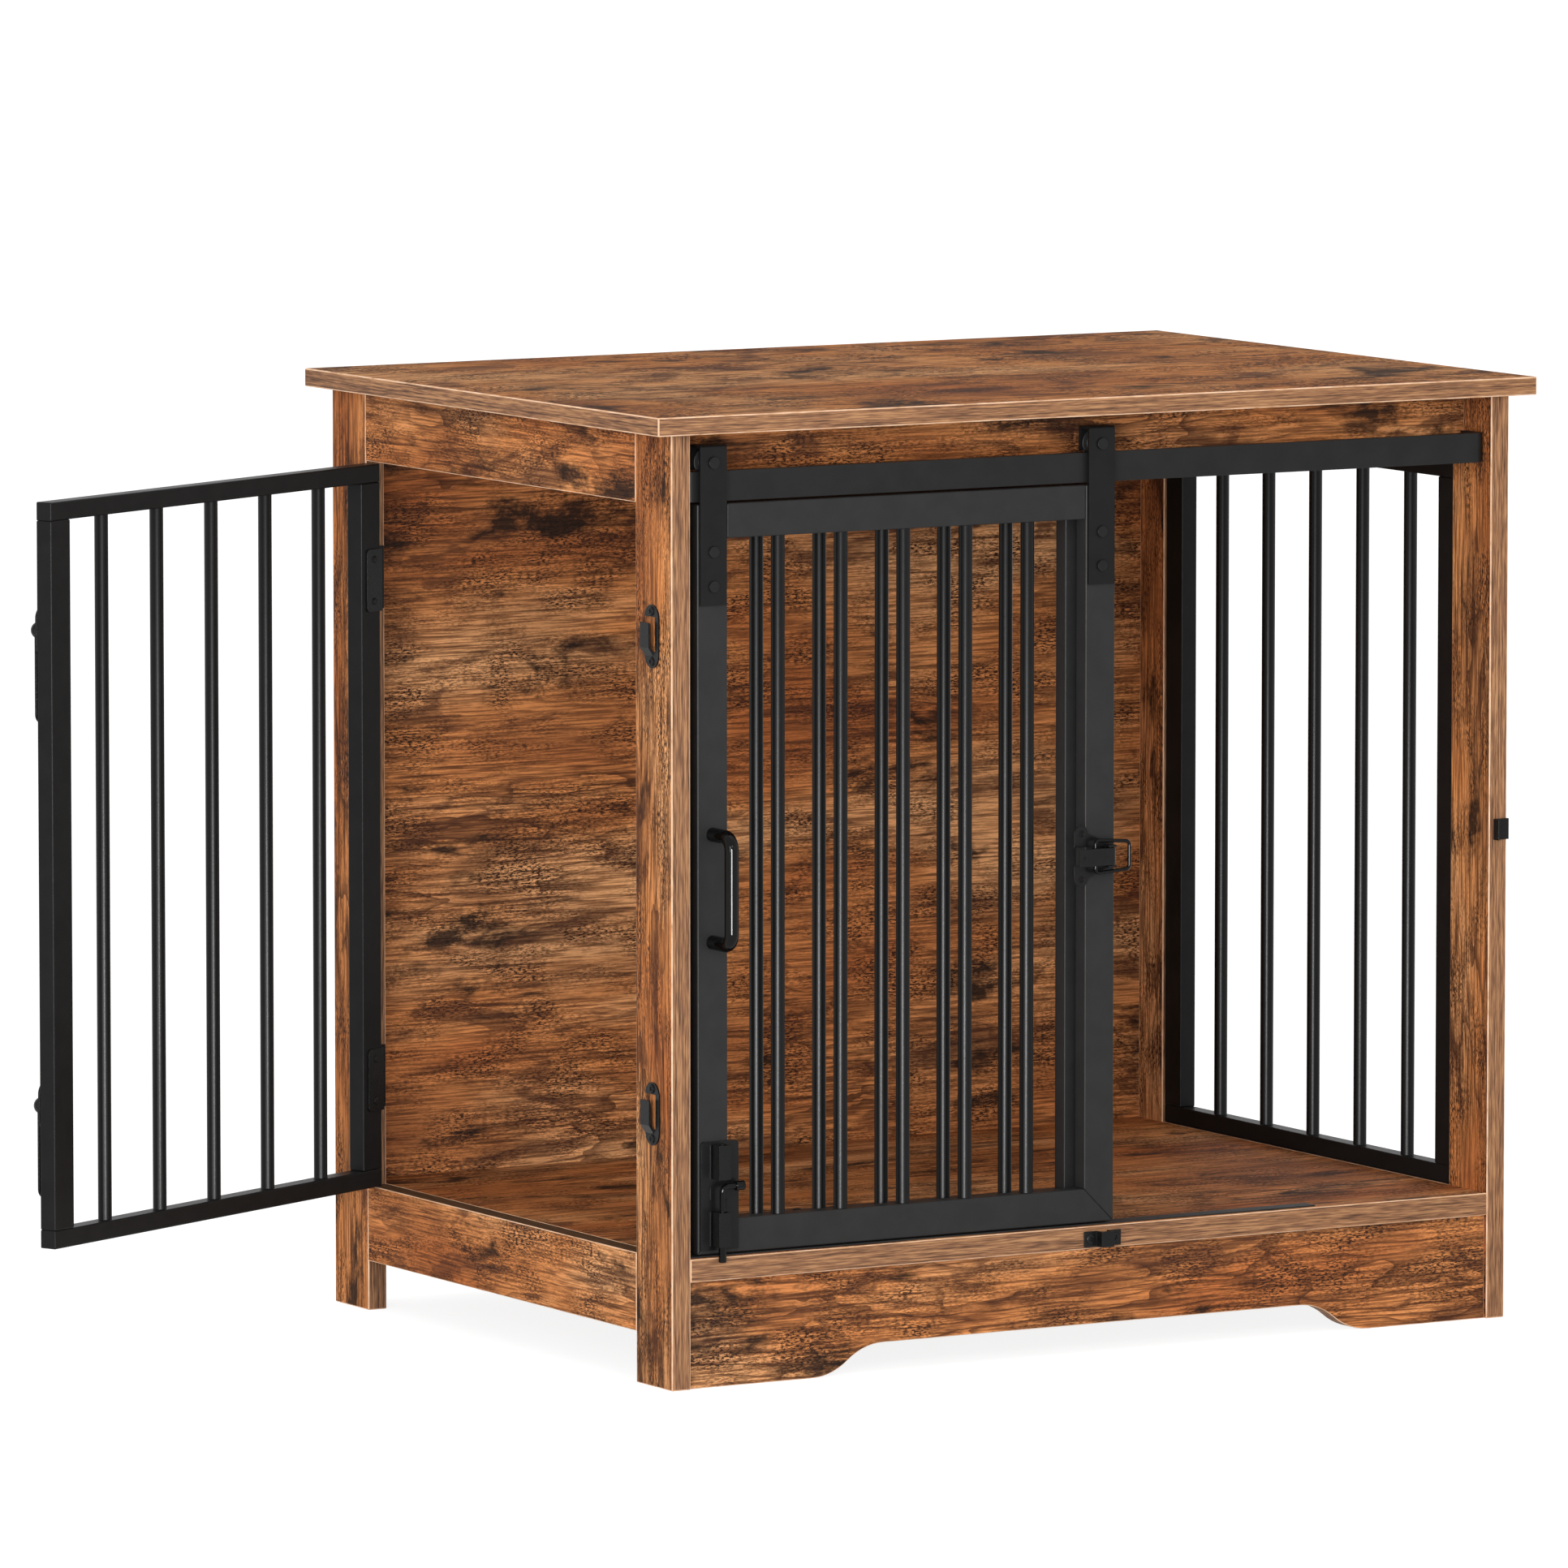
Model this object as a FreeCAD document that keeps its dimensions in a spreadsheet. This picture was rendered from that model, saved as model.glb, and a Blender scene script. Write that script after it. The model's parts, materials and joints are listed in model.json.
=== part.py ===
import FreeCAD, Part
import math
import os
import Sketcher

# Pet crate end table. Millimetres, +Z up, origin on the floor under the middle of the carcass,
# front towards -Y. Every piece is built in the pose of the picture: the barn door slid to the
# left, the side door standing open.

os.makedirs("parts", exist_ok=True)
doc = FreeCAD.newDocument("pet_crate")
sheet = doc.addObject("Spreadsheet::Sheet", "Sizes")

SIZES = {
    # carcass
    "height": 677, "width": 688, "depth": 490, "board": 15, "post_w": 50, "rail_tall": 50,
    "top_over_x": 16.5, "top_over_y": 11, "top_thick": 13, "top_round": 1,
    "floor_top": 91, "floor_thick": 16, "panel_set": 3, "side_skirt_tall": 55, "back_up": 36,
    "arch_rise": 21, "arch_half": 172, "arch_run": 58,
    # steel frames
    "frame_d": 13, "wall": 1.2, "bar_dia": 9.7, "bar_wall": 1, "front_tube": 24,
    "side_stile": 22, "side_rail": 13, "front_pitch": 50.5, "side_pitch": 63.5,
    # barn door and its track
    "door_w": 338, "door_side": 8, "door_shut": 1, "door_lift": 2, "door_set": 4.4,
    "track_tall": 21, "track_thick": 5, "track_up": 2, "track_clear": 1.5, "track_bend": 7,
    "tab_back": 3, "tab_screw": 9, "strip_thick": 1, "strip_len": 513, "strip_in": 2,
    # fixed front grille
    "grille_more": 2, "grille_clear": 4.6, "grille_post": 100, "grille_floor": 68,
    # hangers and rollers
    "strap_w": 21, "strap_thick": 2, "strap_gap": 10.5, "strap_long": 111, "strap_round": 2,
    "strap_clear": 0.8, "bolt_low": 13, "bolt_high": 37, "roller_rad": 9.6, "groove_rad": 6,
    "roller_wide": 9.3, "groove_side": 0.6, "roller_seat": 0.2, "roller_top": 0.7,
    "axle_rad": 2, "axle_play": 0.06, "head_rad": 4.2, "head_thick": 1.6, "nut_thick": 2,
    # pull handle
    "grip_rad": 5, "grip_span": 75, "grip_out": 26.5, "grip_bend": 9, "grip_up": 255,
    # barrel bolt
    "plate_w": 30, "plate_tall": 76, "plate_thick": 1.5, "plate_up": 3, "plate_in": 2,
    "plate_round": 3, "bolt_in": 15, "bolt_out": 8.4, "bolt_rad": 2.75, "bolt_neck": 2,
    "bolt_play": 0.3, "bolt_end": -5, "bolt_arm_up": 48, "bolt_arm": 10, "bolt_knob": 7,
    "knob_rad": 3.4, "neck_in": 4, "neck_seat": 1, "house_w": 9.5, "house_low": 6,
    "house_tall": 24, "house_high": 53, "house_lid": 0.9, "ridge": 1, "ridge_low": 8,
    "ridge_high": 6, "stop_rad": 1.1, "stop_in": 7, "stop_up": 3, "stop_gap": 4,
    "slot_thick": 1.2, "slot_w": 8, "slot_all": 30, "slot_tall": 11, "slot_down": 3.5,
    "slot_play": 0.3,
    # toggle latch
    "toggle_up": 260, "ear_in": -4, "ear_gap": 32, "ear_rad": 5.6, "ear_hole": 2.4,
    "toggle_plate": 1.2, "pivot_in": 16.5, "pivot_out": 7.4, "pivot_rad": 1.2, "pivot_play": 0.06,
    "toggle_arm": 12.5, "lever_long": 28, "lever_heel": 3.4, "lever_wide": 12, "lever_skin": 1.2,
    "lever_high": 4.6, "cheek_thick": 1.4, "cheek_gap": 0.5, "cheek_half": 3.2, "wire_rad": 1.3,
    "recess_in": 3, "tip_hole": 3.5, "bail_half": 11.6, "bail_tip": 9.8, "bail_reach": 29.2,
    "bail_bend": 3, "bail_stub": 3, "catch_thick": 1.2, "catch_tall": 15, "catch_lip": 6.5,
    "catch_play": 0.6, "catch_back": 15, "catch_screw": 8,
    # side door, hinges
    "side_clear": 1, "hinge_clear": 4, "hinge_out": 2, "door_open": 64.7, "hinge_tall": 45,
    "hinge_top_in": 83, "hinge_low_in": 78, "leaf_thick": 1.2, "leaf_w": 17, "knuckle_rad": 2.5,
    "leaf_in": 1, "hinge_pin": 1.25, "pin_head": 1, "pin_play": 0.05, "knuckle_play": 0.3,
    "knuckle_clear": 0.5, "rivet_rad": 1.5, "rivet_head": 2.6, "rivet_thick": 0.8, "rivet_gap": 30,
    # side latches and hook keepers
    "latch_top_in": 90, "latch_low_in": 99, "latch_plate_w": 16, "latch_plate_tall": 34,
    "latch_plate": 1.5, "latch_slip": 0.4, "latch_edge": 8, "lever_thick": 1.4, "lever_w": 13,
    "lever_len": 71,
    "stud_rad": 2.6, "dome_rad": 6, "dome_tall": 5.8, "dome_round": 5.4,
    "hook_w": 19, "hook_tall": 44, "hook_plate": 1.1, "hook_in": 24, "hook_tab": 12,
    "hook_play": 0.5, "hook_up": 9.5, "hook_gap": 0.5, "hook_slope": 3.2,
    "hook_rim": 4.5, "hook_screw_in": 4.5,
    # wood screws and dowels
    "screw_rad": 1.6, "screw_head": 3.3, "screw_cap": 1.2, "screw_deep": 10, "hole_play": 0.1,
    "dowel_rad": 4, "dowel_half": 12, "dowel_gap": 24,
}


class Dim:
    """A size that carries its sheet expression and its present value together."""

    def __init__(self, text, value):
        self.text = text
        self.value = value

    def join(self, sign, other, value):
        return Dim("(%s %s %s)" % (self.text, sign, other.text), value)

    def __add__(self, other):
        other = dim(other)
        return self.join("+", other, self.value + other.value)

    def __sub__(self, other):
        other = dim(other)
        return self.join("-", other, self.value - other.value)

    def __mul__(self, other):
        other = dim(other)
        return self.join("*", other, self.value * other.value)

    def __truediv__(self, other):
        other = dim(other)
        return self.join("/", other, self.value / other.value)

    def __radd__(self, other):
        return dim(other) + self

    def __rsub__(self, other):
        return dim(other) - self

    def __rmul__(self, other):
        return dim(other) * self

    def __neg__(self):
        return dim(0) - self


def dim(value):
    if isinstance(value, Dim):
        return value
    return Dim(repr(float(value)), float(value))


class SizeTable:
    """The sheet's sizes by name."""


S = SizeTable()
for row, (alias, number) in enumerate(SIZES.items(), start=1):
    sheet.set("A%d" % row, alias)
    sheet.set("B%d" % row, str(number))
    sheet.setAlias("B%d" % row, alias)
doc.recompute()
for alias in SIZES:
    setattr(S, alias, Dim("Sizes." + alias, float(sheet.get(alias))))

VEC = FreeCAD.Vector
TURN = FreeCAD.Rotation
WAYS = {
    "+x": TURN(VEC(0, 1, 0), 90), "-x": TURN(VEC(0, 1, 0), -90),
    "+y": TURN(VEC(1, 0, 0), -90), "-y": TURN(VEC(1, 0, 0), 90),
    "+z": TURN(), "-z": TURN(VEC(1, 0, 0), 180),
}
BACK = {"+x": "-x", "-x": "+x", "+y": "-y", "-y": "+y", "+z": "-z", "-z": "+z"}
# a drawing plane for each of the three directions a flat piece is pulled along
PLANES = {"y": TURN(VEC(1, 0, 0), 90), "x": TURN(VEC(1, 1, 1), 120), "z": TURN()}
NODES = []


def bind(obj, **sizes):
    for prop, size in sizes.items():
        obj.setExpression(prop, dim(size).text)


def place(obj, at, turn=None):
    obj.Placement = FreeCAD.Placement(VEC(), turn or TURN())
    for axis, size in zip("xyz", at):
        obj.setExpression("Placement.Base." + axis, dim(size).text)
    return obj


def box(size, at):
    obj = doc.addObject("Part::Box", "box")
    bind(obj, Length=size[0], Width=size[1], Height=size[2])
    return place(obj, at)


def rod(radius, length, at, way):
    obj = doc.addObject("Part::Cylinder", "rod")
    bind(obj, Radius=radius, Height=length)
    return place(obj, at, WAYS[way])


def fuse(*shapes):
    obj = doc.addObject("Part::MultiFuse", "joined")
    obj.Shapes = list(shapes)
    obj.Refine = True
    return obj


def cut(base, *tools):
    obj = doc.addObject("Part::Cut", "cut")
    obj.Base = base
    obj.Tool = tools[0] if len(tools) == 1 else fuse(*tools)
    return obj


def group(*shapes):
    obj = doc.addObject("Part::Compound", "set")
    obj.Links = list(shapes)
    return obj


def prism(corners, thick, at, along):
    """A flat piece: an outline of (u, v) corners pulled by its thickness along x, y or z."""
    sketch = doc.addObject("Sketcher::SketchObject", "outline")
    count = len(corners)
    points = [VEC(dim(u).value, dim(v).value, 0) for u, v in corners]
    for k in range(count):
        sketch.addGeometry(Part.LineSegment(points[k], points[(k + 1) % count]), False)
    for k in range(count):
        sketch.addConstraint(Sketcher.Constraint("Coincident", k, 2, (k + 1) % count, 1))
    for k, corner in enumerate(corners):
        for kind, size in zip(("DistanceX", "DistanceY"), corner):
            mark = sketch.addConstraint(Sketcher.Constraint(kind, -1, 1, k, 1, dim(size).value))
            sketch.setExpression("Constraints[%d]" % mark, dim(size).text)
    place(sketch, at, PLANES[along])
    obj = doc.addObject("Part::Extrusion", "flat")
    obj.Base = sketch
    obj.DirMode = "Normal"
    obj.Solid = True
    obj.Reversed = along == "y"
    bind(obj, LengthFwd=thick)
    return obj


def rounded(base, radius, picks):
    """Round the edges whose middle point the test picks."""
    doc.recompute()
    obj = doc.addObject("Part::Fillet", "rounded")
    obj.Base = base
    edges = []
    for number, edge in enumerate(base.Shape.Edges, start=1):
        middle = edge.valueAt((edge.FirstParameter + edge.LastParameter) / 2)
        if picks(edge, middle):
            edges.append((number, dim(radius).value, dim(radius).value))
    obj.Edges = edges
    return obj


def stadium(wide, tall, thick, middle, along):
    """A plate with half-round ends, tall along z, thick along x; middle is on its low-x face."""
    half = tall / 2 - wide / 2
    x, y, z = middle
    return fuse(box((thick, wide, 2 * half), (x, y - wide / 2, z - half)),
                rod(wide / 2, thick, (x, y, z + half), along),
                rod(wide / 2, thick, (x, y, z - half), along))


def tube(size, at, along, ends=(0, 0)):
    """A box-section tube with the sheet's wall; ends are the end-plate thicknesses."""
    spot = "xyz".index(along)
    hole_size = [length - 2 * S.wall for length in size]
    hole_at = [start + S.wall for start in at]
    hole_size[spot] = size[spot] - ends[0] - ends[1]
    hole_at[spot] = at[spot] + ends[0]
    return cut(box(size, at), box(hole_size, hole_at))


def bars(count, pitch, length, start, step):
    """Hollow upright bars, evenly spaced along x or y about the start point."""
    made = []
    for k in range(count):
        at = list(start)
        at["xy".index(step)] = start["xy".index(step)] + (k - (count - 1) / 2) * pitch
        made.append(cut(rod(S.bar_dia / 2, length, at, "+z"),
                        rod(S.bar_dia / 2 - S.bar_wall, length, at, "+z")))
    return group(*made)


def bent_rod(points, radius, bend, way):
    """A round rod along a path with rounded corners; way is the direction of its first leg."""
    spots = [VEC(*[dim(c).value for c in p]) for p in points]
    turn_in = dim(bend).value
    edges = []
    last = spots[0]
    for before, corner, after in zip(spots, spots[1:], spots[2:]):
        to_before = (before - corner).normalize()
        to_after = (after - corner).normalize()
        reach = turn_in / math.tan(to_before.getAngle(to_after) / 2)
        first = corner + to_before * reach
        final = corner + to_after * reach
        inward = (to_before + to_after).normalize()
        middle = corner + inward * (math.hypot(turn_in, reach) - turn_in)
        edges.append(Part.makeLine(last, first))
        edges.append(Part.Arc(first, middle, final).toShape())
        last = final
    edges.append(Part.makeLine(last, spots[-1]))
    path = doc.addObject("Part::Feature", "path")
    path.Shape = Part.Wire(edges)
    ring = doc.addObject("Part::Circle", "ring")
    bind(ring, Radius=radius)
    place(ring, points[0], WAYS[way])
    obj = doc.addObject("Part::Sweep", "bent_rod")
    obj.Sections = [ring]
    obj.Spine = (path, ["Edge%d" % (k + 1) for k in range(len(edges))])
    obj.Solid = True
    obj.Frenet = False
    return obj


def screw(at, way, through=0):
    """A wood screw: at is on the surface under its head, through is the metal it passes."""
    return fuse(rod(S.screw_rad, S.screw_deep + through, at, way),
                rod(S.screw_head, S.screw_cap, at, BACK[way]))


def screw_hole(at, way, through=0):
    return rod(S.screw_rad + S.hole_play, S.screw_deep + through + S.hole_play, at, way)


def node(label, obj):
    obj.Label = label
    NODES.append(obj)
    return obj


# shared planes
X_IN = S.width / 2 - S.board
X_OUT = S.width / 2
Y_FRONT = -(S.depth / 2)
Y_BACK = S.depth / 2
Y_POST_F = Y_FRONT + S.post_w
Y_POST_B = Y_BACK - S.post_w
SIDE_SPAN = Y_POST_B - Y_POST_F
Z_UNDER = S.height - S.top_thick
Z_RAIL = Z_UNDER - S.rail_tall
Y_PANEL = Y_BACK - S.panel_set - S.board
Z_FLOOR = S.floor_top
Z_TRACK = Z_RAIL + S.track_up
DOOR_X = -X_IN + S.door_side
DOOR_Y = Y_FRONT + S.door_set
DOOR_Z = Z_FLOOR + S.door_lift
DOOR_TOP = Z_TRACK - S.track_clear
GRILLE_Y = DOOR_Y + S.frame_d + S.grille_clear
APRON_Y = GRILLE_Y + S.frame_d
ROLL_Y = DOOR_Y + S.strap_gap / 2
STILE_L = DOOR_X + S.front_tube / 2
STILE_R = DOOR_X + S.door_w - S.front_tube / 2
BOLT_X = DOOR_X + S.bolt_in
BOLT_Y = DOOR_Y - S.bolt_out
TOGGLE_Z = DOOR_Z + S.toggle_up
DOOR_END = DOOR_X + S.door_w
DOOR_TRAVEL = X_IN - S.door_shut - DOOR_END
BOLT_HOME = BOLT_X + DOOR_TRAVEL
GRILLE_W = S.door_w + S.grille_more
SIDE_LOW = Z_FLOOR + S.side_clear
SIDE_HIGH = Z_RAIL - S.side_clear
SIDE_Y0 = Y_POST_F + S.side_clear
SIDE_Y1 = Y_POST_B - S.hinge_clear
LATCH_Y = SIDE_Y0 + S.latch_edge
LATCH_Z = (SIDE_HIGH - S.latch_top_in, SIDE_LOW + S.latch_low_in)
HINGE_X = -X_OUT - S.hinge_out
HINGE_Y = Y_POST_B - S.hinge_clear / 2
HINGE_Z = (SIDE_HIGH - S.hinge_top_in, SIDE_LOW + S.hinge_low_in)
HOOK_Y = Y_POST_F - S.hook_in
COS = Dim("cos(Sizes.door_open * 1 deg)", math.cos(math.radians(S.door_open.value)))
SIN = Dim("sin(Sizes.door_open * 1 deg)", math.sin(math.radians(S.door_open.value)))


def swung(*shapes):
    """Pieces drawn on the closed side door, turned open about the hinge line."""
    obj = group(*shapes)
    obj.Placement = FreeCAD.Placement(VEC(), TURN(VEC(0, 0, -1), S.door_open.value))
    obj.setExpression("Placement.Rotation.Angle", S.door_open.text)
    bind(obj, **{
        "Placement.Base.x": HINGE_X - HINGE_X * COS - HINGE_Y * SIN,
        "Placement.Base.y": HINGE_Y + HINGE_X * SIN - HINGE_Y * COS,
    })
    return obj


# where the wood screws sit: point under the head, direction, metal passed on the way
TRACK_SCREW_Y = APRON_Y - S.tab_back - S.tab_screw
TRACK_SCREW_Z = (Z_TRACK + S.track_tall / 4, Z_TRACK + S.track_tall * 0.75)
track_left = [((-X_IN + S.track_thick, TRACK_SCREW_Y, z), "-x", S.track_thick)
              for z in TRACK_SCREW_Z]
track_right = [((X_IN - S.track_thick, TRACK_SCREW_Y, z), "+x", S.track_thick)
               for z in TRACK_SCREW_Z]
GRILLE_MID = GRILLE_Y + S.frame_d / 2
grille_post = [((-X_IN + S.front_tube, GRILLE_MID, z), "-x", S.front_tube)
               for z in (Z_FLOOR + S.grille_post, Z_RAIL - S.grille_post)]
grille_floor = [((-X_IN + GRILLE_W / 2 + side * S.grille_floor, GRILLE_MID, Z_FLOOR + S.front_tube),
                 "-z", S.front_tube) for side in (-1, 1)]
HOOK_SCREW = S.hook_tall / 2 - S.hook_screw_in
hook_screws = [((-X_OUT - S.hook_plate, HOOK_Y, z + side * HOOK_SCREW), "+x", S.hook_plate)
               for z in LATCH_Z for side in (-1, 1)]
SLOT_Z = Z_FLOOR - S.slot_down - S.slot_tall
SLOT_FLANGE = S.slot_all / 4 + S.slot_w / 4 + S.slot_thick / 2
slot_screws = [((BOLT_HOME + side * SLOT_FLANGE, Y_FRONT - S.slot_thick, SLOT_Z + S.slot_tall / 2),
                "+y", S.slot_thick) for side in (-1, 1)]
catch_screws = [((X_OUT + S.catch_thick, Y_FRONT + S.catch_screw, TOGGLE_Z), "-x", S.catch_thick)]
hinge_pegs = [(-X_OUT + S.board / 2, Y_POST_B, z + side * S.hinge_tall / 3)
              for z in HINGE_Z for side in (-1, 1)]


def holes(screws):
    return [screw_hole(*spec) for spec in screws]


def peg_holes():
    return [rod(S.screw_rad + S.hole_play, S.screw_deep + S.hole_play, peg, "+y")
            for peg in hinge_pegs]


def dowel_spots(side, end):
    """Dowel centres on the joint between one post and its two side rails."""
    x = side * (X_IN + S.board / 2)
    y = Y_POST_F if end < 0 else Y_POST_B
    levels = (Z_RAIL + S.rail_tall / 2, Z_FLOOR - S.side_skirt_tall / 2)
    return [(x, y, z + step * S.dowel_gap / 2) for z in levels for step in (-1, 1)]


def dowel_holes(side, end):
    deep = S.dowel_half + S.hole_play
    return [rod(S.dowel_rad + S.hole_play, 2 * deep, (x, y - deep, z), "+y")
            for x, y, z in dowel_spots(side, end)]


# carcass
def corner_post(label, side, end, extra):
    x = -X_OUT if side < 0 else X_IN
    y = Y_FRONT if end < 0 else Y_POST_B
    post = box((S.board, S.post_w, Z_UNDER), (x, y, 0))
    return node(label, cut(post, *dowel_holes(side, end), *extra))


corner_post("post_front_left", -1, -1, holes(track_left + grille_post + hook_screws))
corner_post("post_front_right", 1, -1, holes(track_right + catch_screws))
corner_post("post_back_left", -1, 1, peg_holes())
corner_post("post_back_right", 1, 1, [])

for name, side in (("left", -1), ("right", 1)):
    x = -X_OUT if side < 0 else X_IN
    rail = box((S.board, SIDE_SPAN, S.rail_tall), (x, Y_POST_F, Z_RAIL))
    node("rail_top_" + name, cut(rail, *dowel_holes(side, -1), *dowel_holes(side, 1)))
    skirt = box((S.board, SIDE_SPAN, S.side_skirt_tall),
                (x, Y_POST_F, Z_FLOOR - S.side_skirt_tall))
    node("skirt_" + name, cut(skirt, *dowel_holes(side, -1), *dowel_holes(side, 1)))

node("frame_dowels", group(*[
    rod(S.dowel_rad, 2 * S.dowel_half, (x, y - S.dowel_half, z), "+y")
    for side in (-1, 1) for end in (-1, 1) for x, y, z in dowel_spots(side, end)]))
node("apron_front", box((2 * X_IN, S.board, S.rail_tall), (-X_IN, APRON_Y, Z_RAIL)))
floor_board = box((2 * X_IN, Y_PANEL - Y_FRONT, S.floor_thick),
                  (-X_IN, Y_FRONT, Z_FLOOR - S.floor_thick))
node("floor_panel", cut(floor_board, *holes(grille_floor + slot_screws)))
node("back_panel", box((2 * X_IN, S.board, Z_UNDER - S.back_up), (-X_IN, Y_PANEL, S.back_up)))


def drawn_body(name, role):
    """A body with an empty sketch on one of its own origin planes."""
    body = doc.addObject("PartDesign::Body", name)
    plane = [part for part in body.Origin.OriginFeatures if part.Role == role][0]
    sketch = body.newObject("Sketcher::SketchObject", name + "_outline")
    sketch.AttachmentSupport = [(plane, "")]
    sketch.MapMode = "FlatFace"
    return body, sketch


def padded(body, sketch, thick, backwards):
    pad = body.newObject("PartDesign::Pad", "pad")
    pad.Profile = sketch
    pad.Reversed = backwards
    bind(pad, Length=thick)
    return pad


def rule(sketch, *terms):
    return sketch.addConstraint(Sketcher.Constraint(*terms))


def drive(sketch, kind, spot, size):
    """Hold one point of the sketch at a driven distance from its origin."""
    mark = rule(sketch, kind, -1, 1, spot[0], spot[1], dim(size).value)
    sketch.setExpression("Constraints[%d]" % mark, dim(size).text)


top_body, top_sketch = drawn_body("tabletop", "XY_Plane")
half_w = X_OUT + S.top_over_x
half_d = Y_BACK + S.top_over_y
top_corners = ((-half_w, -half_d), (half_w, -half_d), (half_w, half_d), (-half_w, half_d))
for k in range(4):
    ends = [VEC(u.value, v.value, 0) for u, v in (top_corners[k], top_corners[(k + 1) % 4])]
    top_sketch.addGeometry(Part.LineSegment(*ends), False)
for k in range(4):
    rule(top_sketch, "Coincident", k, 2, (k + 1) % 4, 1)
    drive(top_sketch, "DistanceX", (k, 1), top_corners[k][0])
    drive(top_sketch, "DistanceY", (k, 1), top_corners[k][1])
top_pad = padded(top_body, top_sketch, S.top_thick, False)
doc.recompute()
top_edge = top_body.newObject("PartDesign::Fillet", "edge")
top_edge.Base = (top_pad, ["Edge%d" % (k + 1) for k in range(len(top_pad.Shape.Edges))])
bind(top_edge, Radius=S.top_round)
place(top_body, (0, 0, Z_UNDER))
node("tabletop", top_body)

# the front skirt: two feet joined by a raised middle through matching S-curves
skirt_body, skirt_sketch = drawn_body("skirt_front", "XZ_Plane")
end_x = X_IN.value
foot_x = (S.arch_half + S.arch_run).value
flat_x = S.arch_half.value
rise = S.arch_rise.value
skirt_top = Z_FLOOR - S.floor_thick
curve = ((foot_x - flat_x) ** 2 + rise ** 2) / (4 * rise)
lean = math.asin((foot_x - flat_x) / 2 / curve)
down = 1.5 * math.pi
up = 0.5 * math.pi


def skirt_arc(x, z, start, end):
    return Part.ArcOfCircle(Part.Circle(VEC(x, z, 0), VEC(0, 0, 1), curve), start, end)


def skirt_line(x0, z0, x1, z1):
    return Part.LineSegment(VEC(x0, z0, 0), VEC(x1, z1, 0))


for piece in (
    skirt_line(-end_x, 0, -foot_x, 0),
    skirt_arc(-foot_x, curve, down, down + lean),
    skirt_arc(-flat_x, rise - curve, up, up + lean),
    skirt_line(-flat_x, rise, flat_x, rise),
    skirt_arc(flat_x, rise - curve, up - lean, up),
    skirt_arc(foot_x, curve, down - lean, down),
    skirt_line(foot_x, 0, end_x, 0),
    skirt_line(end_x, 0, end_x, skirt_top.value),
    skirt_line(end_x, skirt_top.value, -end_x, skirt_top.value),
    skirt_line(-end_x, skirt_top.value, -end_x, 0),
):
    skirt_sketch.addGeometry(piece, False)
for terms in ((0, 2, 1, 1), (1, 2, 2, 2), (2, 1, 3, 1), (3, 2, 4, 2), (4, 1, 5, 1), (5, 2, 6, 1)):
    rule(skirt_sketch, "Tangent", *terms)
for terms in ((6, 2, 7, 1), (7, 2, 8, 1), (8, 2, 9, 1), (9, 2, 0, 1)):
    rule(skirt_sketch, "Coincident", *terms)
for flat in (0, 3, 6, 8):
    rule(skirt_sketch, "Horizontal", flat)
for upright in (7, 9):
    rule(skirt_sketch, "Vertical", upright)
rule(skirt_sketch, "Equal", 1, 2)
rule(skirt_sketch, "Equal", 4, 5)
rule(skirt_sketch, "PointOnObject", 0, 1, -1)
rule(skirt_sketch, "PointOnObject", 6, 2, -1)
drive(skirt_sketch, "DistanceX", (0, 1), -X_IN)
drive(skirt_sketch, "DistanceX", (6, 2), X_IN)
drive(skirt_sketch, "DistanceX", (0, 2), -S.arch_half - S.arch_run)
drive(skirt_sketch, "DistanceX", (6, 1), S.arch_half + S.arch_run)
drive(skirt_sketch, "DistanceX", (3, 1), -S.arch_half)
drive(skirt_sketch, "DistanceX", (3, 2), S.arch_half)
drive(skirt_sketch, "DistanceY", (3, 1), S.arch_rise)
drive(skirt_sketch, "DistanceY", (8, 1), skirt_top)
padded(skirt_body, skirt_sketch, S.board, True)
place(skirt_body, (0, Y_FRONT + S.panel_set, 0))
node("skirt_front", skirt_body)

# track: a flat bar whose ends turn back along the posts
track_front = ROLL_Y - S.track_thick / 2
tab_long = APRON_Y - S.tab_back - track_front
track = fuse(
    box((2 * X_IN, S.track_thick, S.track_tall), (-X_IN, track_front, Z_TRACK)),
    box((S.track_thick, tab_long, S.track_tall), (-X_IN, track_front, Z_TRACK)),
    box((S.track_thick, tab_long, S.track_tall), (X_IN - S.track_thick, track_front, Z_TRACK)))
track = rounded(track, S.track_bend, lambda edge, mid: (
    abs(abs(mid.x) - X_IN.value) < 0.01 and abs(mid.y - track_front.value) < 0.01
    and abs(edge.Length - S.track_tall.value) < 0.01))
node("track_bar", cut(track, *holes(track_left + track_right)))
node("floor_strip", box((S.strip_len, S.frame_d, S.strip_thick),
                        (-X_IN + S.strip_in, DOOR_Y, Z_FLOOR)))

# fixed front grille
grille_tall = Z_RAIL - Z_FLOOR
stile_size = (S.front_tube, S.frame_d, grille_tall)
rail_size = (GRILLE_W - 2 * S.front_tube, S.frame_d, S.front_tube)
rail_x = -X_IN + S.front_tube
node("fixed_grille_stiles", group(
    cut(tube(stile_size, (-X_IN, GRILLE_Y, Z_FLOOR), "z", (0, S.wall)), *holes(grille_post)),
    tube(stile_size, (-X_IN + GRILLE_W - S.front_tube, GRILLE_Y, Z_FLOOR), "z", (0, S.wall))))
node("fixed_grille_rails", group(
    cut(tube(rail_size, (rail_x, GRILLE_Y, Z_FLOOR), "x"), *holes(grille_floor)),
    tube(rail_size, (rail_x, GRILLE_Y, Z_RAIL - S.front_tube), "x")))
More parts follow.
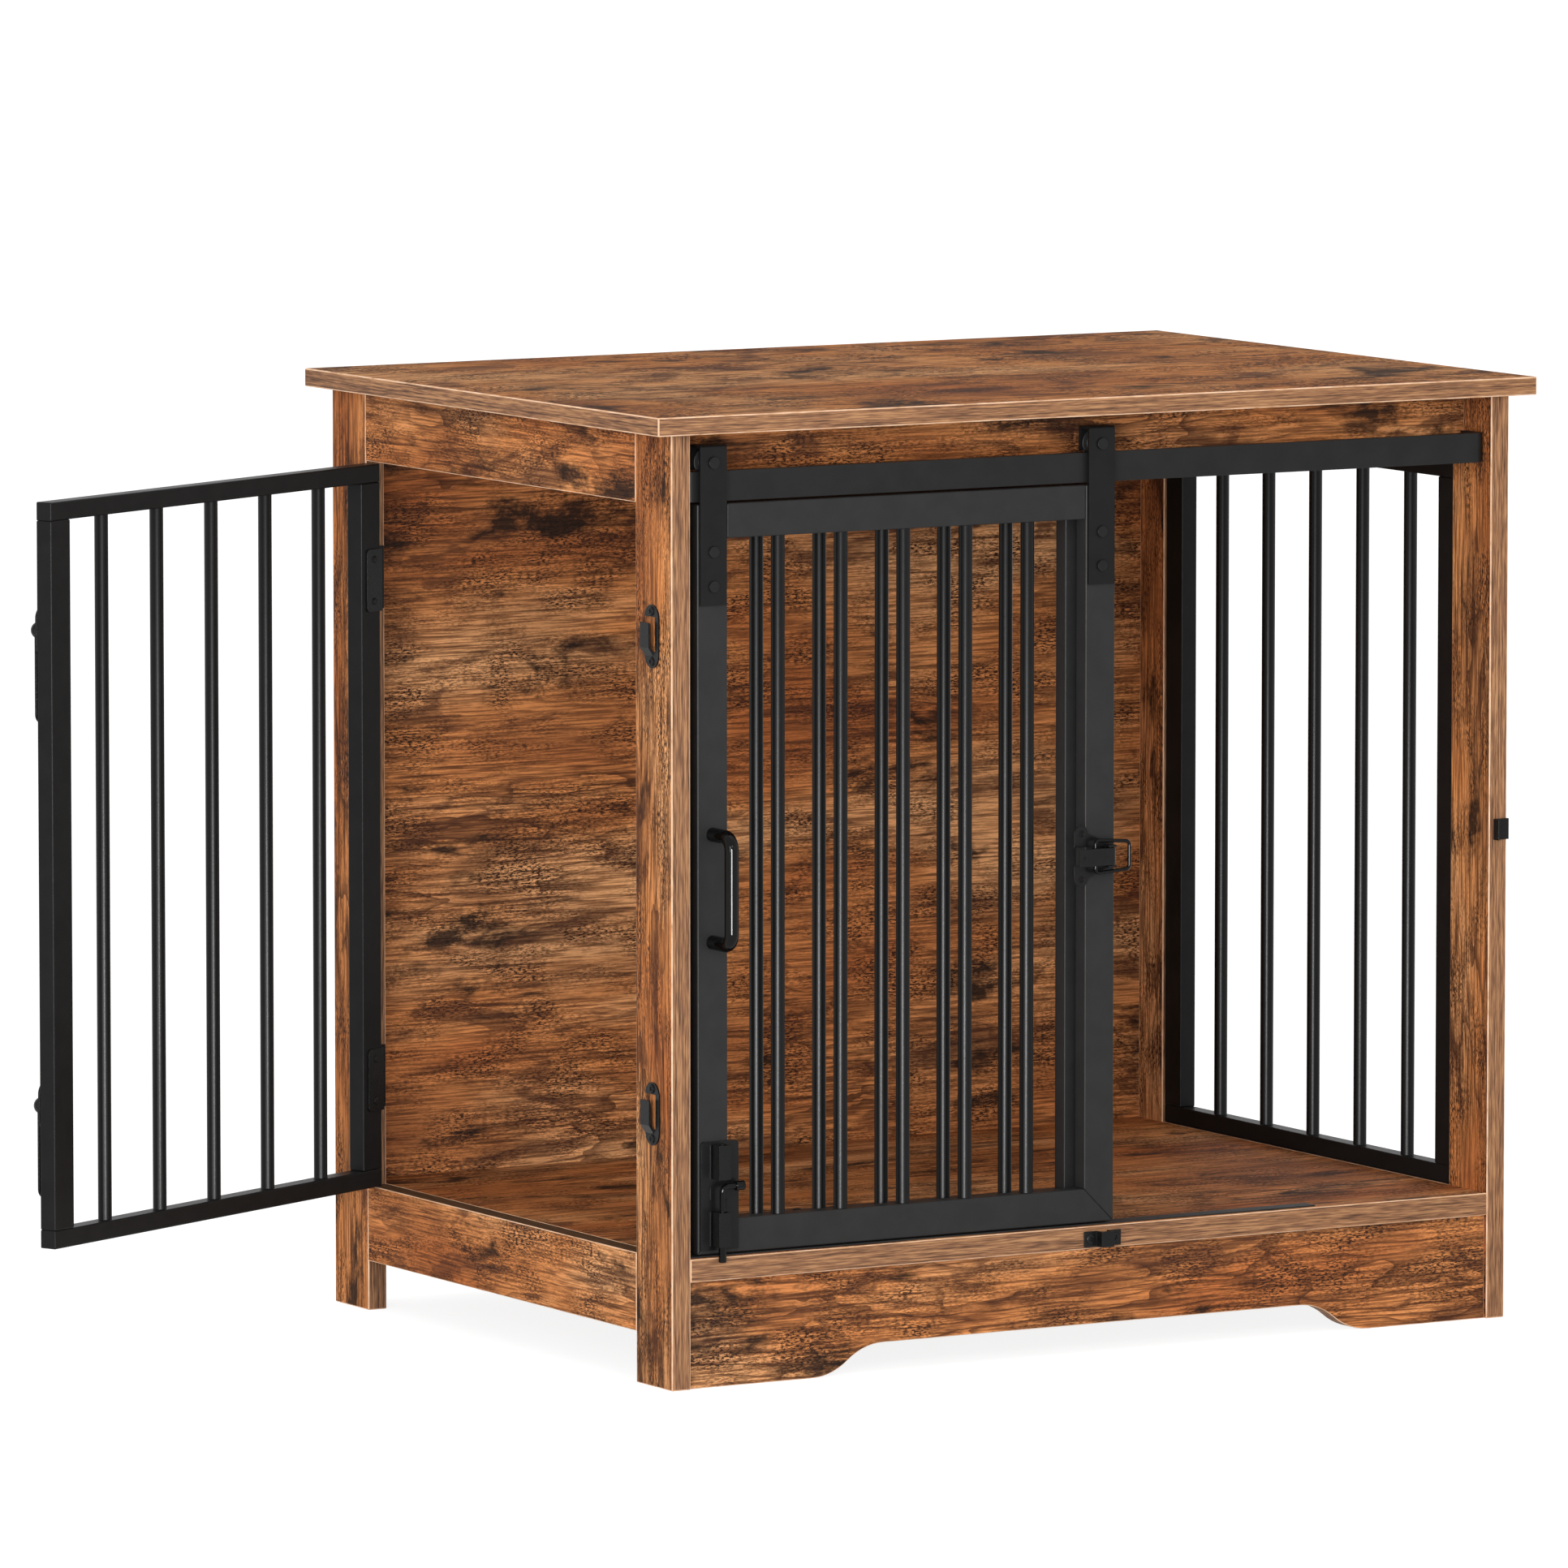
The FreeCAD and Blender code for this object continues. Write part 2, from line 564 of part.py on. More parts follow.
node("fixed_grille_bars", bars(5, S.front_pitch, grille_tall - 2 * S.front_tube,
                               (-X_IN + GRILLE_W / 2, GRILLE_MID, Z_FLOOR + S.front_tube), "x"))


# side frames: rails run through, stiles and bars stand between them
def side_frame(x, y0, y1, low, high, end_plate):
    long = y1 - y0
    stile = (S.frame_d, S.side_stile, high - low - 2 * S.side_rail)
    rail = (S.frame_d, long, S.side_rail)
    z = low + S.side_rail
    stiles = (tube(stile, (x, y0, z), "z"), tube(stile, (x, y1 - S.side_stile, z), "z"))
    rails = tuple(tube(rail, (x, y0, level), "y", (end_plate, 0))
                  for level in (low, high - S.side_rail))
    uprights = bars(5, S.side_pitch, stile[2], (x + S.frame_d / 2, (y0 + y1) / 2, z), "y")
    return stiles, rails, uprights


stiles, rails, uprights = side_frame(X_OUT - S.frame_d, Y_POST_F, Y_POST_B, Z_FLOOR, Z_RAIL, 0)
node("right_grille_stiles", group(*stiles))
node("right_grille_rails", group(*rails))
node("right_grille_bars", uprights)

rivet_y = SIDE_Y1 - S.leaf_w / 2
rivets = [(-X_OUT + S.frame_d, rivet_y, z + side * S.rivet_gap / 2)
          for z in HINGE_Z for side in (-1, 1)]
rivet_holes = [rod(S.rivet_rad + S.hole_play, S.wall, (x - S.wall, y, z), "+x")
               for x, y, z in rivets]
stiles, rails, uprights = side_frame(-X_OUT, SIDE_Y0, SIDE_Y1, SIDE_LOW, SIDE_HIGH, S.wall)
node("side_door_stiles", swung(stiles[0], cut(stiles[1], *rivet_holes)))
node("side_door_rails", swung(*rails))
node("side_door_bars", swung(uprights))

# barn door frame: butted at the top, mitred at the bottom
door_tall = DOOR_TOP - DOOR_Z
T = S.front_tube


def mitred(outer, inner):
    back = DOOR_Y + S.wall
    return cut(prism(outer, S.frame_d, (0, DOOR_Y, 0), "y"),
               prism(inner, S.frame_d - 2 * S.wall, (0, back, 0), "y"))


def hanger_holes(x):
    start = DOOR_Y - S.strap_thick
    return [rod(S.axle_rad + S.hole_play, S.strap_thick + S.wall, (x, start, z), "+y")
            for z in HANGER_BOLT_Z]


STRAP_TOP = (Z_TRACK + S.track_tall + S.roller_seat + S.groove_rad + S.roller_rad + S.roller_top
             + S.strap_thick)
STRAP_LOW = STRAP_TOP - S.strap_long
HANGER_BOLT_Z = (STRAP_LOW + S.bolt_low, STRAP_LOW + S.bolt_high)
AXLE_Z = Z_TRACK + S.track_tall + S.roller_seat + S.groove_rad
inset = S.wall
for label, x_out, hand in (("door_stile_left", DOOR_X, 1), ("door_stile_right", DOOR_END, -1)):
    x_in = x_out + hand * T
    outer = ((x_out, DOOR_Z), (x_in, DOOR_Z + T), (x_in, DOOR_TOP), (x_out, DOOR_TOP))
    a, b = x_out + hand * inset, x_in - hand * inset
    inner = ((a, DOOR_Z + inset), (b, DOOR_Z + T - inset), (b, DOOR_TOP - inset),
             (a, DOOR_TOP - inset))
    stile = mitred(outer if hand > 0 else outer[::-1], inner if hand > 0 else inner[::-1])
    node(label, cut(stile, *hanger_holes(x_out + hand * T / 2)))
node("door_rail_top", tube((S.door_w - 2 * T, S.frame_d, T),
                           (DOOR_X + T, DOOR_Y, DOOR_TOP - T), "x"))
low_outer = ((DOOR_X, DOOR_Z), (DOOR_END, DOOR_Z),
             (DOOR_END - T, DOOR_Z + T), (DOOR_X + T, DOOR_Z + T))
low_inner = ((DOOR_X + inset, DOOR_Z + inset), (DOOR_END - inset, DOOR_Z + inset),
             (DOOR_END - T + inset, DOOR_Z + T - inset), (DOOR_X + T - inset, DOOR_Z + T - inset))
node("door_rail_bottom", mitred(low_outer, low_inner))
node("door_bars", bars(5, S.front_pitch, door_tall - 2 * T,
                       (DOOR_X + S.door_w / 2, DOOR_Y + S.frame_d / 2, DOOR_Z + T), "x"))


# strap hangers straddling the track, each with a grooved roller on its axle
def hanger(x):
    left = x - S.strap_w / 2
    tail = STRAP_TOP - Z_TRACK - S.track_tall - S.strap_clear
    front = DOOR_Y - S.strap_thick
    strap = fuse(
        box((S.strap_w, S.strap_thick, S.strap_long), (left, front, STRAP_LOW)),
        box((S.strap_w, S.strap_gap + 2 * S.strap_thick, S.strap_thick),
            (left, front, STRAP_TOP - S.strap_thick)),
        box((S.strap_w, S.strap_thick, tail), (left, DOOR_Y + S.strap_gap, STRAP_TOP - tail)))
    strap = rounded(strap, S.strap_round, lambda edge, mid: (
        abs(mid.z - STRAP_TOP.value) < 0.01 and abs(mid.x - x.value) < 0.01))
    axle_hole = rod(S.axle_rad + S.hole_play, S.strap_gap + 2 * S.strap_thick,
                    (x, front, AXLE_Z), "+y")
    return cut(strap, axle_hole, *hanger_holes(x))


def roller(x):
    start = ROLL_Y - S.roller_wide / 2
    groove = S.track_thick + 2 * S.groove_side
    groove_ring = cut(rod(2 * S.roller_rad, groove, (x, ROLL_Y - groove / 2, AXLE_Z), "+y"),
                      rod(S.groove_rad, groove, (x, ROLL_Y - groove / 2, AXLE_Z), "+y"))
    return cut(rod(S.roller_rad, S.roller_wide, (x, start, AXLE_Z), "+y"), groove_ring,
               rod(S.axle_rad + S.axle_play, S.roller_wide, (x, start, AXLE_Z), "+y"))


def axle(x):
    front = DOOR_Y - S.strap_thick
    back = DOOR_Y + S.strap_gap + S.strap_thick
    return fuse(rod(S.axle_rad, back - front + S.nut_thick, (x, front, AXLE_Z), "+y"),
                rod(S.head_rad, S.head_thick, (x, front, AXLE_Z), "-y"),
                rod(S.head_rad, S.nut_thick, (x, back, AXLE_Z), "+y"))


def hanger_bolt(x, z):
    front = DOOR_Y - S.strap_thick
    return fuse(rod(S.axle_rad, S.strap_thick + S.frame_d / 2, (x, front, z), "+y"),
                rod(S.head_rad, S.head_thick, (x, front, z), "-y"))


for name, x in (("left", STILE_L), ("right", STILE_R)):
    node("hanger_" + name, hanger(x))
    node("roller_" + name, roller(x))
node("roller_axles", group(axle(STILE_L), axle(STILE_R)))
node("hanger_bolts", group(*[hanger_bolt(x, z) for x in (STILE_L, STILE_R) for z in HANGER_BOLT_Z]))

# pull handle
grip_z = DOOR_Z + S.grip_up
grip_y = DOOR_Y - S.grip_out
grip_low, grip_high = grip_z - S.grip_span / 2, grip_z + S.grip_span / 2
node("pull_handle", bent_rod(
    ((STILE_L, DOOR_Y, grip_low), (STILE_L, grip_y, grip_low),
     (STILE_L, grip_y, grip_high), (STILE_L, DOOR_Y, grip_high)), S.grip_rad, S.grip_bend, "-y"))

# barrel bolt: plate and housings on the door, an L-shaped bolt sliding in them
plate_y = DOOR_Y - S.plate_thick
plate_x = DOOR_X + S.plate_in
plate_top = DOOR_Z + S.plate_up + S.plate_tall
plate = box((S.plate_w, S.plate_thick, S.plate_tall), (plate_x, plate_y, DOOR_Z + S.plate_up))
plate = rounded(plate, S.plate_round, lambda edge, mid: (
    abs(edge.Length - S.plate_thick.value) < 0.01 and abs(mid.z - plate_top.value) < 0.01))
ridge_x = BOLT_X - S.house_w / 2 - 1.5 * S.ridge
low_top = DOOR_Z + S.house_low + S.house_tall
ridges = [box((S.ridge, S.ridge, tall), (ridge_x, plate_y - S.ridge, low)) for low, tall in (
    (DOOR_Z + S.house_low, S.house_tall), (DOOR_Z + S.house_high, S.house_tall),
    (low_top + S.ridge_low, DOOR_Z + S.house_high - low_top - S.ridge_low - S.ridge_high))]
stops = [rod(S.stop_rad, S.ridge, (BOLT_X + S.stop_in, plate_y, low_top + lift), "-y")
         for lift in (S.stop_up, S.stop_up + S.stop_gap)]
node("bolt_plate", fuse(plate, *ridges, *stops))
house_deep = S.bolt_out - S.plate_thick + S.bolt_rad + S.bolt_play + S.house_lid


def housing(level):
    block = box((S.house_w, house_deep, S.house_tall),
                (BOLT_X - S.house_w / 2, plate_y - house_deep, level))
    return cut(block, rod(S.bolt_rad + S.bolt_play, S.house_tall, (BOLT_X, BOLT_Y, level), "+z"))


node("bolt_housings", group(housing(DOOR_Z + S.house_low), housing(DOOR_Z + S.house_high)))
bolt_low = DOOR_Z + S.bolt_end
bolt_step = DOOR_Z + S.house_low + S.house_tall - S.neck_in
arm_z = DOOR_Z + S.bolt_arm_up
node("bolt_rod", fuse(
    rod(S.bolt_rad, bolt_step - bolt_low, (BOLT_X, BOLT_Y, bolt_low), "+z"),
    bent_rod(((BOLT_X, BOLT_Y, bolt_step - S.neck_seat), (BOLT_X, BOLT_Y, arm_z),
              (BOLT_X + S.bolt_arm + S.neck_seat, BOLT_Y, arm_z)),
             S.bolt_neck, 2 * S.bolt_neck, "+z"),
    rod(S.knob_rad, S.bolt_knob, (BOLT_X + S.bolt_arm, BOLT_Y, arm_z), "+x")))

# keeper of the barrel bolt: a hat-shaped loop on the sill
loop_deep = Y_FRONT - BOLT_Y + S.bolt_rad + S.bolt_play + S.slot_play
half_in = S.slot_w / 2
half_wall = half_in + S.slot_thick
flange = S.slot_all / 2 - half_wall
loop_y = Y_FRONT - loop_deep - S.slot_thick
flange_y = Y_FRONT - S.slot_thick
side_wall = (S.slot_thick, loop_deep + S.slot_thick, S.slot_tall)
flange_size = (flange, S.slot_thick, S.slot_tall)
keeper = fuse(
    box((2 * half_wall, S.slot_thick, S.slot_tall), (BOLT_HOME - half_wall, loop_y, SLOT_Z)),
    box(side_wall, (BOLT_HOME - half_wall, loop_y, SLOT_Z)),
    box(side_wall, (BOLT_HOME + half_in, loop_y, SLOT_Z)),
    box(flange_size, (BOLT_HOME - S.slot_all / 2, flange_y, SLOT_Z)),
    box(flange_size, (BOLT_HOME + half_wall, flange_y, SLOT_Z)))
node("bolt_keeper", cut(keeper, *holes(slot_screws)))

# toggle latch: base with two cheeks, a lever on a pin, a wire bail hung on the lever
stile_edge = DOOR_END - T
ear_x = stile_edge + S.ear_in
pivot_x = stile_edge + S.pivot_in
pivot_y = DOOR_Y - S.pivot_out
bail_x = pivot_x - S.toggle_arm
half_lever = S.lever_wide / 2
cheek_in = half_lever + S.cheek_gap
cheek_end = cheek_in + S.cheek_thick
base_y = DOOR_Y - S.toggle_plate
ear_half = S.ear_gap / 2
base_right = pivot_x + S.cheek_half
base_corners = ((ear_x - S.ear_rad, TOGGLE_Z - ear_half), (ear_x + S.ear_rad, TOGGLE_Z - ear_half),
                (base_right, TOGGLE_Z - cheek_end), (base_right, TOGGLE_Z + cheek_end),
                (ear_x + S.ear_rad, TOGGLE_Z + ear_half), (ear_x - S.ear_rad, TOGGLE_Z + ear_half))
ears = [rod(S.ear_rad, S.toggle_plate, (ear_x, base_y, TOGGLE_Z + side * ear_half), "+y")
        for side in (-1, 1)]
ear_holes = [rod(S.ear_hole, S.toggle_plate, (ear_x, base_y, TOGGLE_Z + side * ear_half), "+y")
             for side in (-1, 1)]
cheek_tall = S.pivot_out - S.toggle_plate + S.cheek_half
cheeks = [box((2 * S.cheek_half, cheek_tall, S.cheek_thick),
              (pivot_x - S.cheek_half, base_y - cheek_tall, z))
          for z in (TOGGLE_Z - cheek_end, TOGGLE_Z + cheek_in)]
pin_hole = rod(S.pivot_rad + S.pivot_play, 2 * cheek_end,
               (pivot_x, pivot_y, TOGGLE_Z - cheek_end), "+z")
toggle_base = fuse(prism(base_corners, S.toggle_plate, (0, base_y, 0), "y"), *ears, *cheeks)
recess_x = ear_x - 2 * S.ear_rad
recess = box((pivot_x - S.cheek_half - S.recess_in - recess_x, S.toggle_plate, 2 * cheek_in),
             (recess_x, base_y, TOGGLE_Z - cheek_in))
node("toggle_base", cut(toggle_base, pin_hole, recess, *ear_holes))
node("toggle_pin", rod(S.pivot_rad, 2 * cheek_end, (pivot_x, pivot_y, TOGGLE_Z - cheek_end), "+z"))
skin_y = pivot_y - S.lever_high
lever_left = pivot_x - S.lever_long
boss = rod(S.lever_heel, S.lever_wide, (pivot_x, pivot_y, TOGGLE_Z - half_lever), "+z")
web_x = bail_x - 2 * S.wire_rad
lever_z = TOGGLE_Z - half_lever
web = box((pivot_x - web_x, pivot_y - skin_y + S.wire_rad * 2, S.lever_wide), (web_x, skin_y, lever_z))
skin = box((pivot_x - lever_left, S.lever_skin, S.lever_wide), (lever_left, skin_y, lever_z))
bail_bore = rod(S.wire_rad + S.pivot_play, S.lever_wide, (bail_x, pivot_y, lever_z), "+z")
tip_hole = rod(S.pivot_rad, S.lever_skin, (lever_left + S.tip_hole, skin_y, TOGGLE_Z), "+y")
node("toggle_lever", cut(fuse(boss, web, skin), pin_hole, bail_bore, tip_hole))
bail_end = bail_x + S.bail_reach - S.wire_rad
bail_low, bail_high = TOGGLE_Z - S.bail_half, TOGGLE_Z + S.bail_half
tip_low, tip_high = TOGGLE_Z - S.bail_tip, TOGGLE_Z + S.bail_tip
stub = half_lever - S.bail_stub
node("toggle_bail", bent_rod(
    ((bail_x, pivot_y, TOGGLE_Z - stub), (bail_x, pivot_y, bail_low), (bail_end, pivot_y, tip_low),
     (bail_end, pivot_y, tip_high), (bail_x, pivot_y, bail_high), (bail_x, pivot_y, TOGGLE_Z + stub)),
    S.wire_rad, S.bail_bend, "-z"))

# catch of the toggle latch: an angle on the post corner with a lip for the bail
lip_x = bail_end + DOOR_TRAVEL - S.wire_rad - S.catch_play - S.catch_thick
catch_low = TOGGLE_Z - S.catch_tall / 2
catch_y = Y_FRONT - S.catch_thick
catch = fuse(
    box((X_OUT + S.catch_thick - lip_x, S.catch_thick, S.catch_tall), (lip_x, catch_y, catch_low)),
    box((S.catch_thick, S.catch_thick + S.catch_back, S.catch_tall), (X_OUT, catch_y, catch_low)),
    box((S.catch_thick, S.catch_lip, S.catch_tall),
        (lip_x, catch_y - S.catch_lip + S.catch_thick, catch_low)))
node("toggle_catch", cut(catch, *holes(catch_screws)))


# hinges: a flat leaf on the post edge, an angled leaf round the door stile, a pin
def knuckle(low, high):
    return cut(rod(S.knuckle_rad, high - low, (HINGE_X, HINGE_Y, low), "+z"),
               rod(S.hinge_pin + S.pin_play, high - low, (HINGE_X, HINGE_Y, low), "+z"))


def hinge_levels(z):
    third = S.hinge_tall / 6
    return z - S.hinge_tall / 2, z - third, z + third, z + S.hinge_tall / 2


NOTCH = S.knuckle_rad + S.knuckle_clear


def pin_channel(z):
    return rod(S.hinge_pin + S.pin_play, S.hinge_tall, (HINGE_X, HINGE_Y, z - S.hinge_tall / 2), "+z")


def post_leaf(z):
    low, mid_low, mid_high, high = hinge_levels(z)
    leaf_y = Y_POST_B - S.leaf_thick
    plate = box((-X_IN - S.leaf_in - HINGE_X, S.leaf_thick, S.hinge_tall), (HINGE_X, leaf_y, low))
    notch = box((NOTCH, S.leaf_thick, mid_high - mid_low), (HINGE_X, leaf_y, mid_low))
    pegs = [rod(S.screw_rad + S.hole_play, S.leaf_thick, (x, y - S.leaf_thick, level), "+y")
            for x, y, level in hinge_pegs]
    leaf = fuse(cut(plate, notch), knuckle(low, mid_low), knuckle(mid_high, high))
    return cut(leaf, pin_channel(z), *pegs)


def door_leaf(z):
    low, mid_low, mid_high, high = hinge_levels(z)
    face_x = -X_OUT + S.frame_d
    edge = box((face_x + S.leaf_thick - HINGE_X, S.leaf_thick, S.hinge_tall),
               (HINGE_X, SIDE_Y1, low))
    face = box((S.leaf_thick, S.leaf_w + S.leaf_thick, S.hinge_tall),
               (face_x, SIDE_Y1 - S.leaf_w, low))
    gap = S.knuckle_play
    notches = [box((NOTCH, S.leaf_thick, mid_low + gap - low), (HINGE_X, SIDE_Y1, low)),
               box((NOTCH, S.leaf_thick, high - mid_high + gap), (HINGE_X, SIDE_Y1, mid_high - gap))]
    leaf = fuse(cut(fuse(edge, face), *notches), knuckle(mid_low + gap, mid_high - gap))
    drilled = [rod(S.rivet_rad + S.hole_play, S.leaf_thick, rivet, "+x") for rivet in rivets]
    return cut(leaf, pin_channel(z), *drilled)


def hinge_pin(z):
    low = z - S.hinge_tall / 2
    return fuse(rod(S.hinge_pin, S.hinge_tall, (HINGE_X, HINGE_Y, low), "+z"),
                rod(S.knuckle_rad, S.pin_head, (HINGE_X, HINGE_Y, z + S.hinge_tall / 2), "+z"))


node("hinge_post_leaves", group(*[post_leaf(z) for z in HINGE_Z]))
node("hinge_pins", group(*[hinge_pin(z) for z in HINGE_Z]))
node("hinge_screws", group(*[
    rod(S.screw_rad, S.screw_deep + S.leaf_thick, (x, y - S.leaf_thick, z), "+y")
    for x, y, z in hinge_pegs]))
node("hinge_door_leaves", swung(*[door_leaf(z) for z in HINGE_Z]))
node("hinge_rivets", swung(*[
    fuse(rod(S.rivet_rad, S.leaf_thick + S.wall, (x - S.wall, y, z), "+x"),
         rod(S.rivet_head, S.rivet_thick, (x + S.leaf_thick, y, z), "+x")) for x, y, z in rivets]))

# side latches: a plate and a hanging lever on a domed stud, and the hooks they drop into
lever_face = -X_OUT - S.latch_plate - S.latch_slip - S.lever_thick


def latch_plate(z):
    plate = stadium(S.latch_plate_w, S.latch_plate_tall, S.latch_plate,
                    (-X_OUT - S.latch_plate, LATCH_Y, z), "+x")
    return cut(plate, rod(S.stud_rad + S.hole_play, S.latch_plate, (-X_OUT, LATCH_Y, z), "-x"))


def latch_stud(z):
    neck = S.latch_plate + S.lever_thick + 2 * S.latch_slip
    tip = X_OUT.value + (neck + S.dome_tall).value
    dome = rounded(rod(S.dome_rad, S.dome_tall, (-X_OUT - neck, LATCH_Y, z), "-x"), S.dome_round,
                   lambda edge, mid: abs(edge.BoundBox.XMax + tip) < 0.01)
    return fuse(rod(S.stud_rad, neck, (-X_OUT, LATCH_Y, z), "-x"), dome)


def latch_lever(z):
    middle = z + S.lever_w / 2 - S.lever_len / 2
    lever = stadium(S.lever_w, S.lever_len, S.lever_thick, (lever_face, LATCH_Y, middle), "+x")
    return cut(lever, rod(S.stud_rad + S.pivot_play, S.lever_thick, (lever_face, LATCH_Y, z), "+x"))


def hook_keeper(z):
    face = -X_OUT - S.hook_plate
    plate = stadium(S.hook_w, S.hook_tall, S.hook_plate, (face, HOOK_Y, z), "+x")
    far = lever_face - S.hook_play
    tip = far - S.hook_plate
    tab_y = HOOK_Y + S.hook_w / 2 - S.hook_tab
    reach = HOOK_SCREW - S.screw_head - S.hook_gap
    foot = z - reach
    bend = foot + S.hook_slope
    knee = bend + S.hook_slope
    window = box((S.hook_plate, S.hook_w - S.hook_rim, z + reach - bend),
                 (face, HOOK_Y - S.hook_w / 2 + S.hook_rim, bend))
    profile = ((-X_OUT, foot), (-X_OUT, bend), (face, bend), (far, knee), (far, z + S.hook_up),
               (tip, z + S.hook_up), (tip, knee - S.hook_plate / 2), (face, foot))
    tab = prism(profile, S.hook_tab, (0, tab_y, 0), "y")
    drilled = [screw_hole(*spec) for spec in hook_screws]
    return cut(fuse(cut(plate, window), tab), *drilled)


node("latch_plates", swung(*[latch_plate(z) for z in LATCH_Z]))
node("latch_studs", swung(*[latch_stud(z) for z in LATCH_Z]))
for name, z in zip(("upper", "lower"), LATCH_Z):
    node("latch_lever_" + name, swung(latch_lever(z)))
    node("latch_hook_" + name, hook_keeper(z))
node("wood_screws", group(*[screw(*spec) for spec in (
    track_left + track_right + grille_post + grille_floor + hook_screws + slot_screws + catch_screws)]))

doc.recompute()
for obj in doc.Objects:
    if "Invalid" in obj.State or "Error" in obj.State:
        raise RuntimeError("not built: %s %s" % (obj.Label, obj.State))
for obj in NODES:
    if obj.Shape.isNull() or not obj.Shape.isValid() or not obj.Shape.Solids:
        raise RuntimeError("bad shape: " + obj.Label)
    obj.Shape.exportStep("parts/%s.step" % obj.Label)
print(len(NODES), "pieces written")
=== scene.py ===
import json
import math

import bmesh
import bpy
from mathutils import Matrix, Vector


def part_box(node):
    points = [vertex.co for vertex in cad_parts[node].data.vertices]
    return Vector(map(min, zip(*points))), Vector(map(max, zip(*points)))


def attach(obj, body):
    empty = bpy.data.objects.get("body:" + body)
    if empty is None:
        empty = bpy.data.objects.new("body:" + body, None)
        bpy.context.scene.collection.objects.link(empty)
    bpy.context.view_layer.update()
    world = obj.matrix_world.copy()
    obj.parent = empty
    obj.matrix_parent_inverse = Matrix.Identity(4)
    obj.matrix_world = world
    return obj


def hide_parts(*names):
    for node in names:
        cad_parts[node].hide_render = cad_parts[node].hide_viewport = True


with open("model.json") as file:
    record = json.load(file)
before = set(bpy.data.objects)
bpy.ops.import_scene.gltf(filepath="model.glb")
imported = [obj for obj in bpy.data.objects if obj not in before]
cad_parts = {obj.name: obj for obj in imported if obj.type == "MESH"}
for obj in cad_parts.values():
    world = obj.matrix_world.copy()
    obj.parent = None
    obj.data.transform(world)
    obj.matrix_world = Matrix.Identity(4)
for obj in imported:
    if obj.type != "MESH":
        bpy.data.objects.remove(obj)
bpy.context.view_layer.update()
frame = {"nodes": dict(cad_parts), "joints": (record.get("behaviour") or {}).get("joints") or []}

# Pet crate end table: rustic board carcass, black steel barred frames, a barn door on a track and a hinged
# side door. Metres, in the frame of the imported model.
MM = 0.001
AXES = "xyz"

# Steel frames
FRONT_TUBE = 24 * MM     # face width of the front frames' tube
SIDE_STILE = 22 * MM     # face width of the side frames' uprights
SIDE_RAIL = 13 * MM      # height of the side frames' rails
TUBE_ROUND = 0.9 * MM    # corner radius of the box-section tube
BAR_RADIUS = 4.85 * MM
BAR_WELD = 0.5 * MM      # fillet weld at each end of a bar
BAR_SIDES = 28           # facets round a bar
BARS_PER_FRAME = 5

# Side door: its hinge's line, how far it stands open, and the box of its frame when shut
HINGE_LINE = Vector((-0.346, 0.193, 0))
SIDE_OPEN = next(j for j in frame["joints"] if j["name"] == "side_door_swing")["range_deg"][1]
SIDE_X = (-0.344, -0.331)
SIDE_Y = (-0.194, 0.191)
SIDE_Z = (0.092, 0.613)
LEAF_CORNER = 3.0 * MM   # radius of the free corners of its hinge leaves


def tint(code):
    """An sRGB hex colour as linear RGBA."""
    parts = [int(code[k:k + 2], 16) / 255 for k in (1, 3, 5)]
    return tuple(c / 12.92 if c <= 0.04045 else ((c + 0.055) / 1.055) ** 2.4 for c in parts) + (1.0,)


def repeats(size):
    """The texture scale at which a pattern comes out at this size in mm."""
    return 1000 / size


def wire(tree, node, feeds):
    """Gives sockets of a node their values or links."""
    for socket, value in feeds.items():
        if isinstance(value, bpy.types.NodeSocket):
            tree.links.new(value, node.inputs[socket])
        else:
            node.inputs[socket].default_value = value


def put(tree, kind, settings=None, feeds=None):
    """Adds a node, sets its settings, and gives its sockets their values or links."""
    node = tree.nodes.new(kind)
    for name, value in (settings or {}).items():
        if name == "stops":
            ramp = node.color_ramp.elements
            while len(ramp) < len(value):
                ramp.new(0.5)
            for stop, (spot, colour) in zip(ramp, value):
                stop.position = spot
                stop.color = tint(colour)
        else:
            setattr(node, name, value)
    wire(tree, node, feeds or {})
    return node


def new_finish(name):
    """An empty finish: its material, tree, shader and the piece's own coordinates."""
    material = bpy.data.materials.new(name)
    material.use_nodes = True
    tree = material.node_tree
    tree.nodes.clear()
    shader = put(tree, "ShaderNodeBsdfPrincipled")
    put(tree, "ShaderNodeOutputMaterial", feeds={"Surface": shader.outputs["BSDF"]})
    return material, tree, shader, put(tree, "ShaderNodeTexCoord").outputs["Object"]


# Turns of the pattern so that its first axis runs along the grain
GRAIN_TURN = {"x": (0, 0, 0), "y": (0, 0, -math.pi / 2), "z": (0, math.pi / 2, 0)}
# Where each run of printed board was cut from the roll, in metres
ROLL_START = {"x": (1.76, -2.44, -1.18), "y": (0, 0, 0), "z": (0.92, 0.69, -2.06)}

# Layers of the printed board: length along the grain and width across it in mm, detail, roughness and
# distortion. Dashes and fibres are drawn a little coarser than the print's half millimetre, to show.
BOARD_LAYERS = {
    "tone": (320, 90, 3, 0.5, 0.4),
    "zone": (300, 120, 2, 0.5, 0.3),
    "dash": (3.8, 1.0, 2, 0.6, 0.0),
    "thick": (60, 24, 3, 0.55, 0.3),
    "fibre": (42, 1.6, 3, 0.65, 0.15),
    "streak": (110, 4.0, 3, 0.6, 0.3),
    "scorch": (180, 60, 4, 0.6, 0.5),
    "stain": (120, 28, 7, 0.66, 0.7),
    "char": (96, 36, 7, 0.67, 0.35),
    "warp": (290, 62, 2, 0.5, 0.0),
    "ripple": (55, 15, 2, 0.5, 0.0),
}
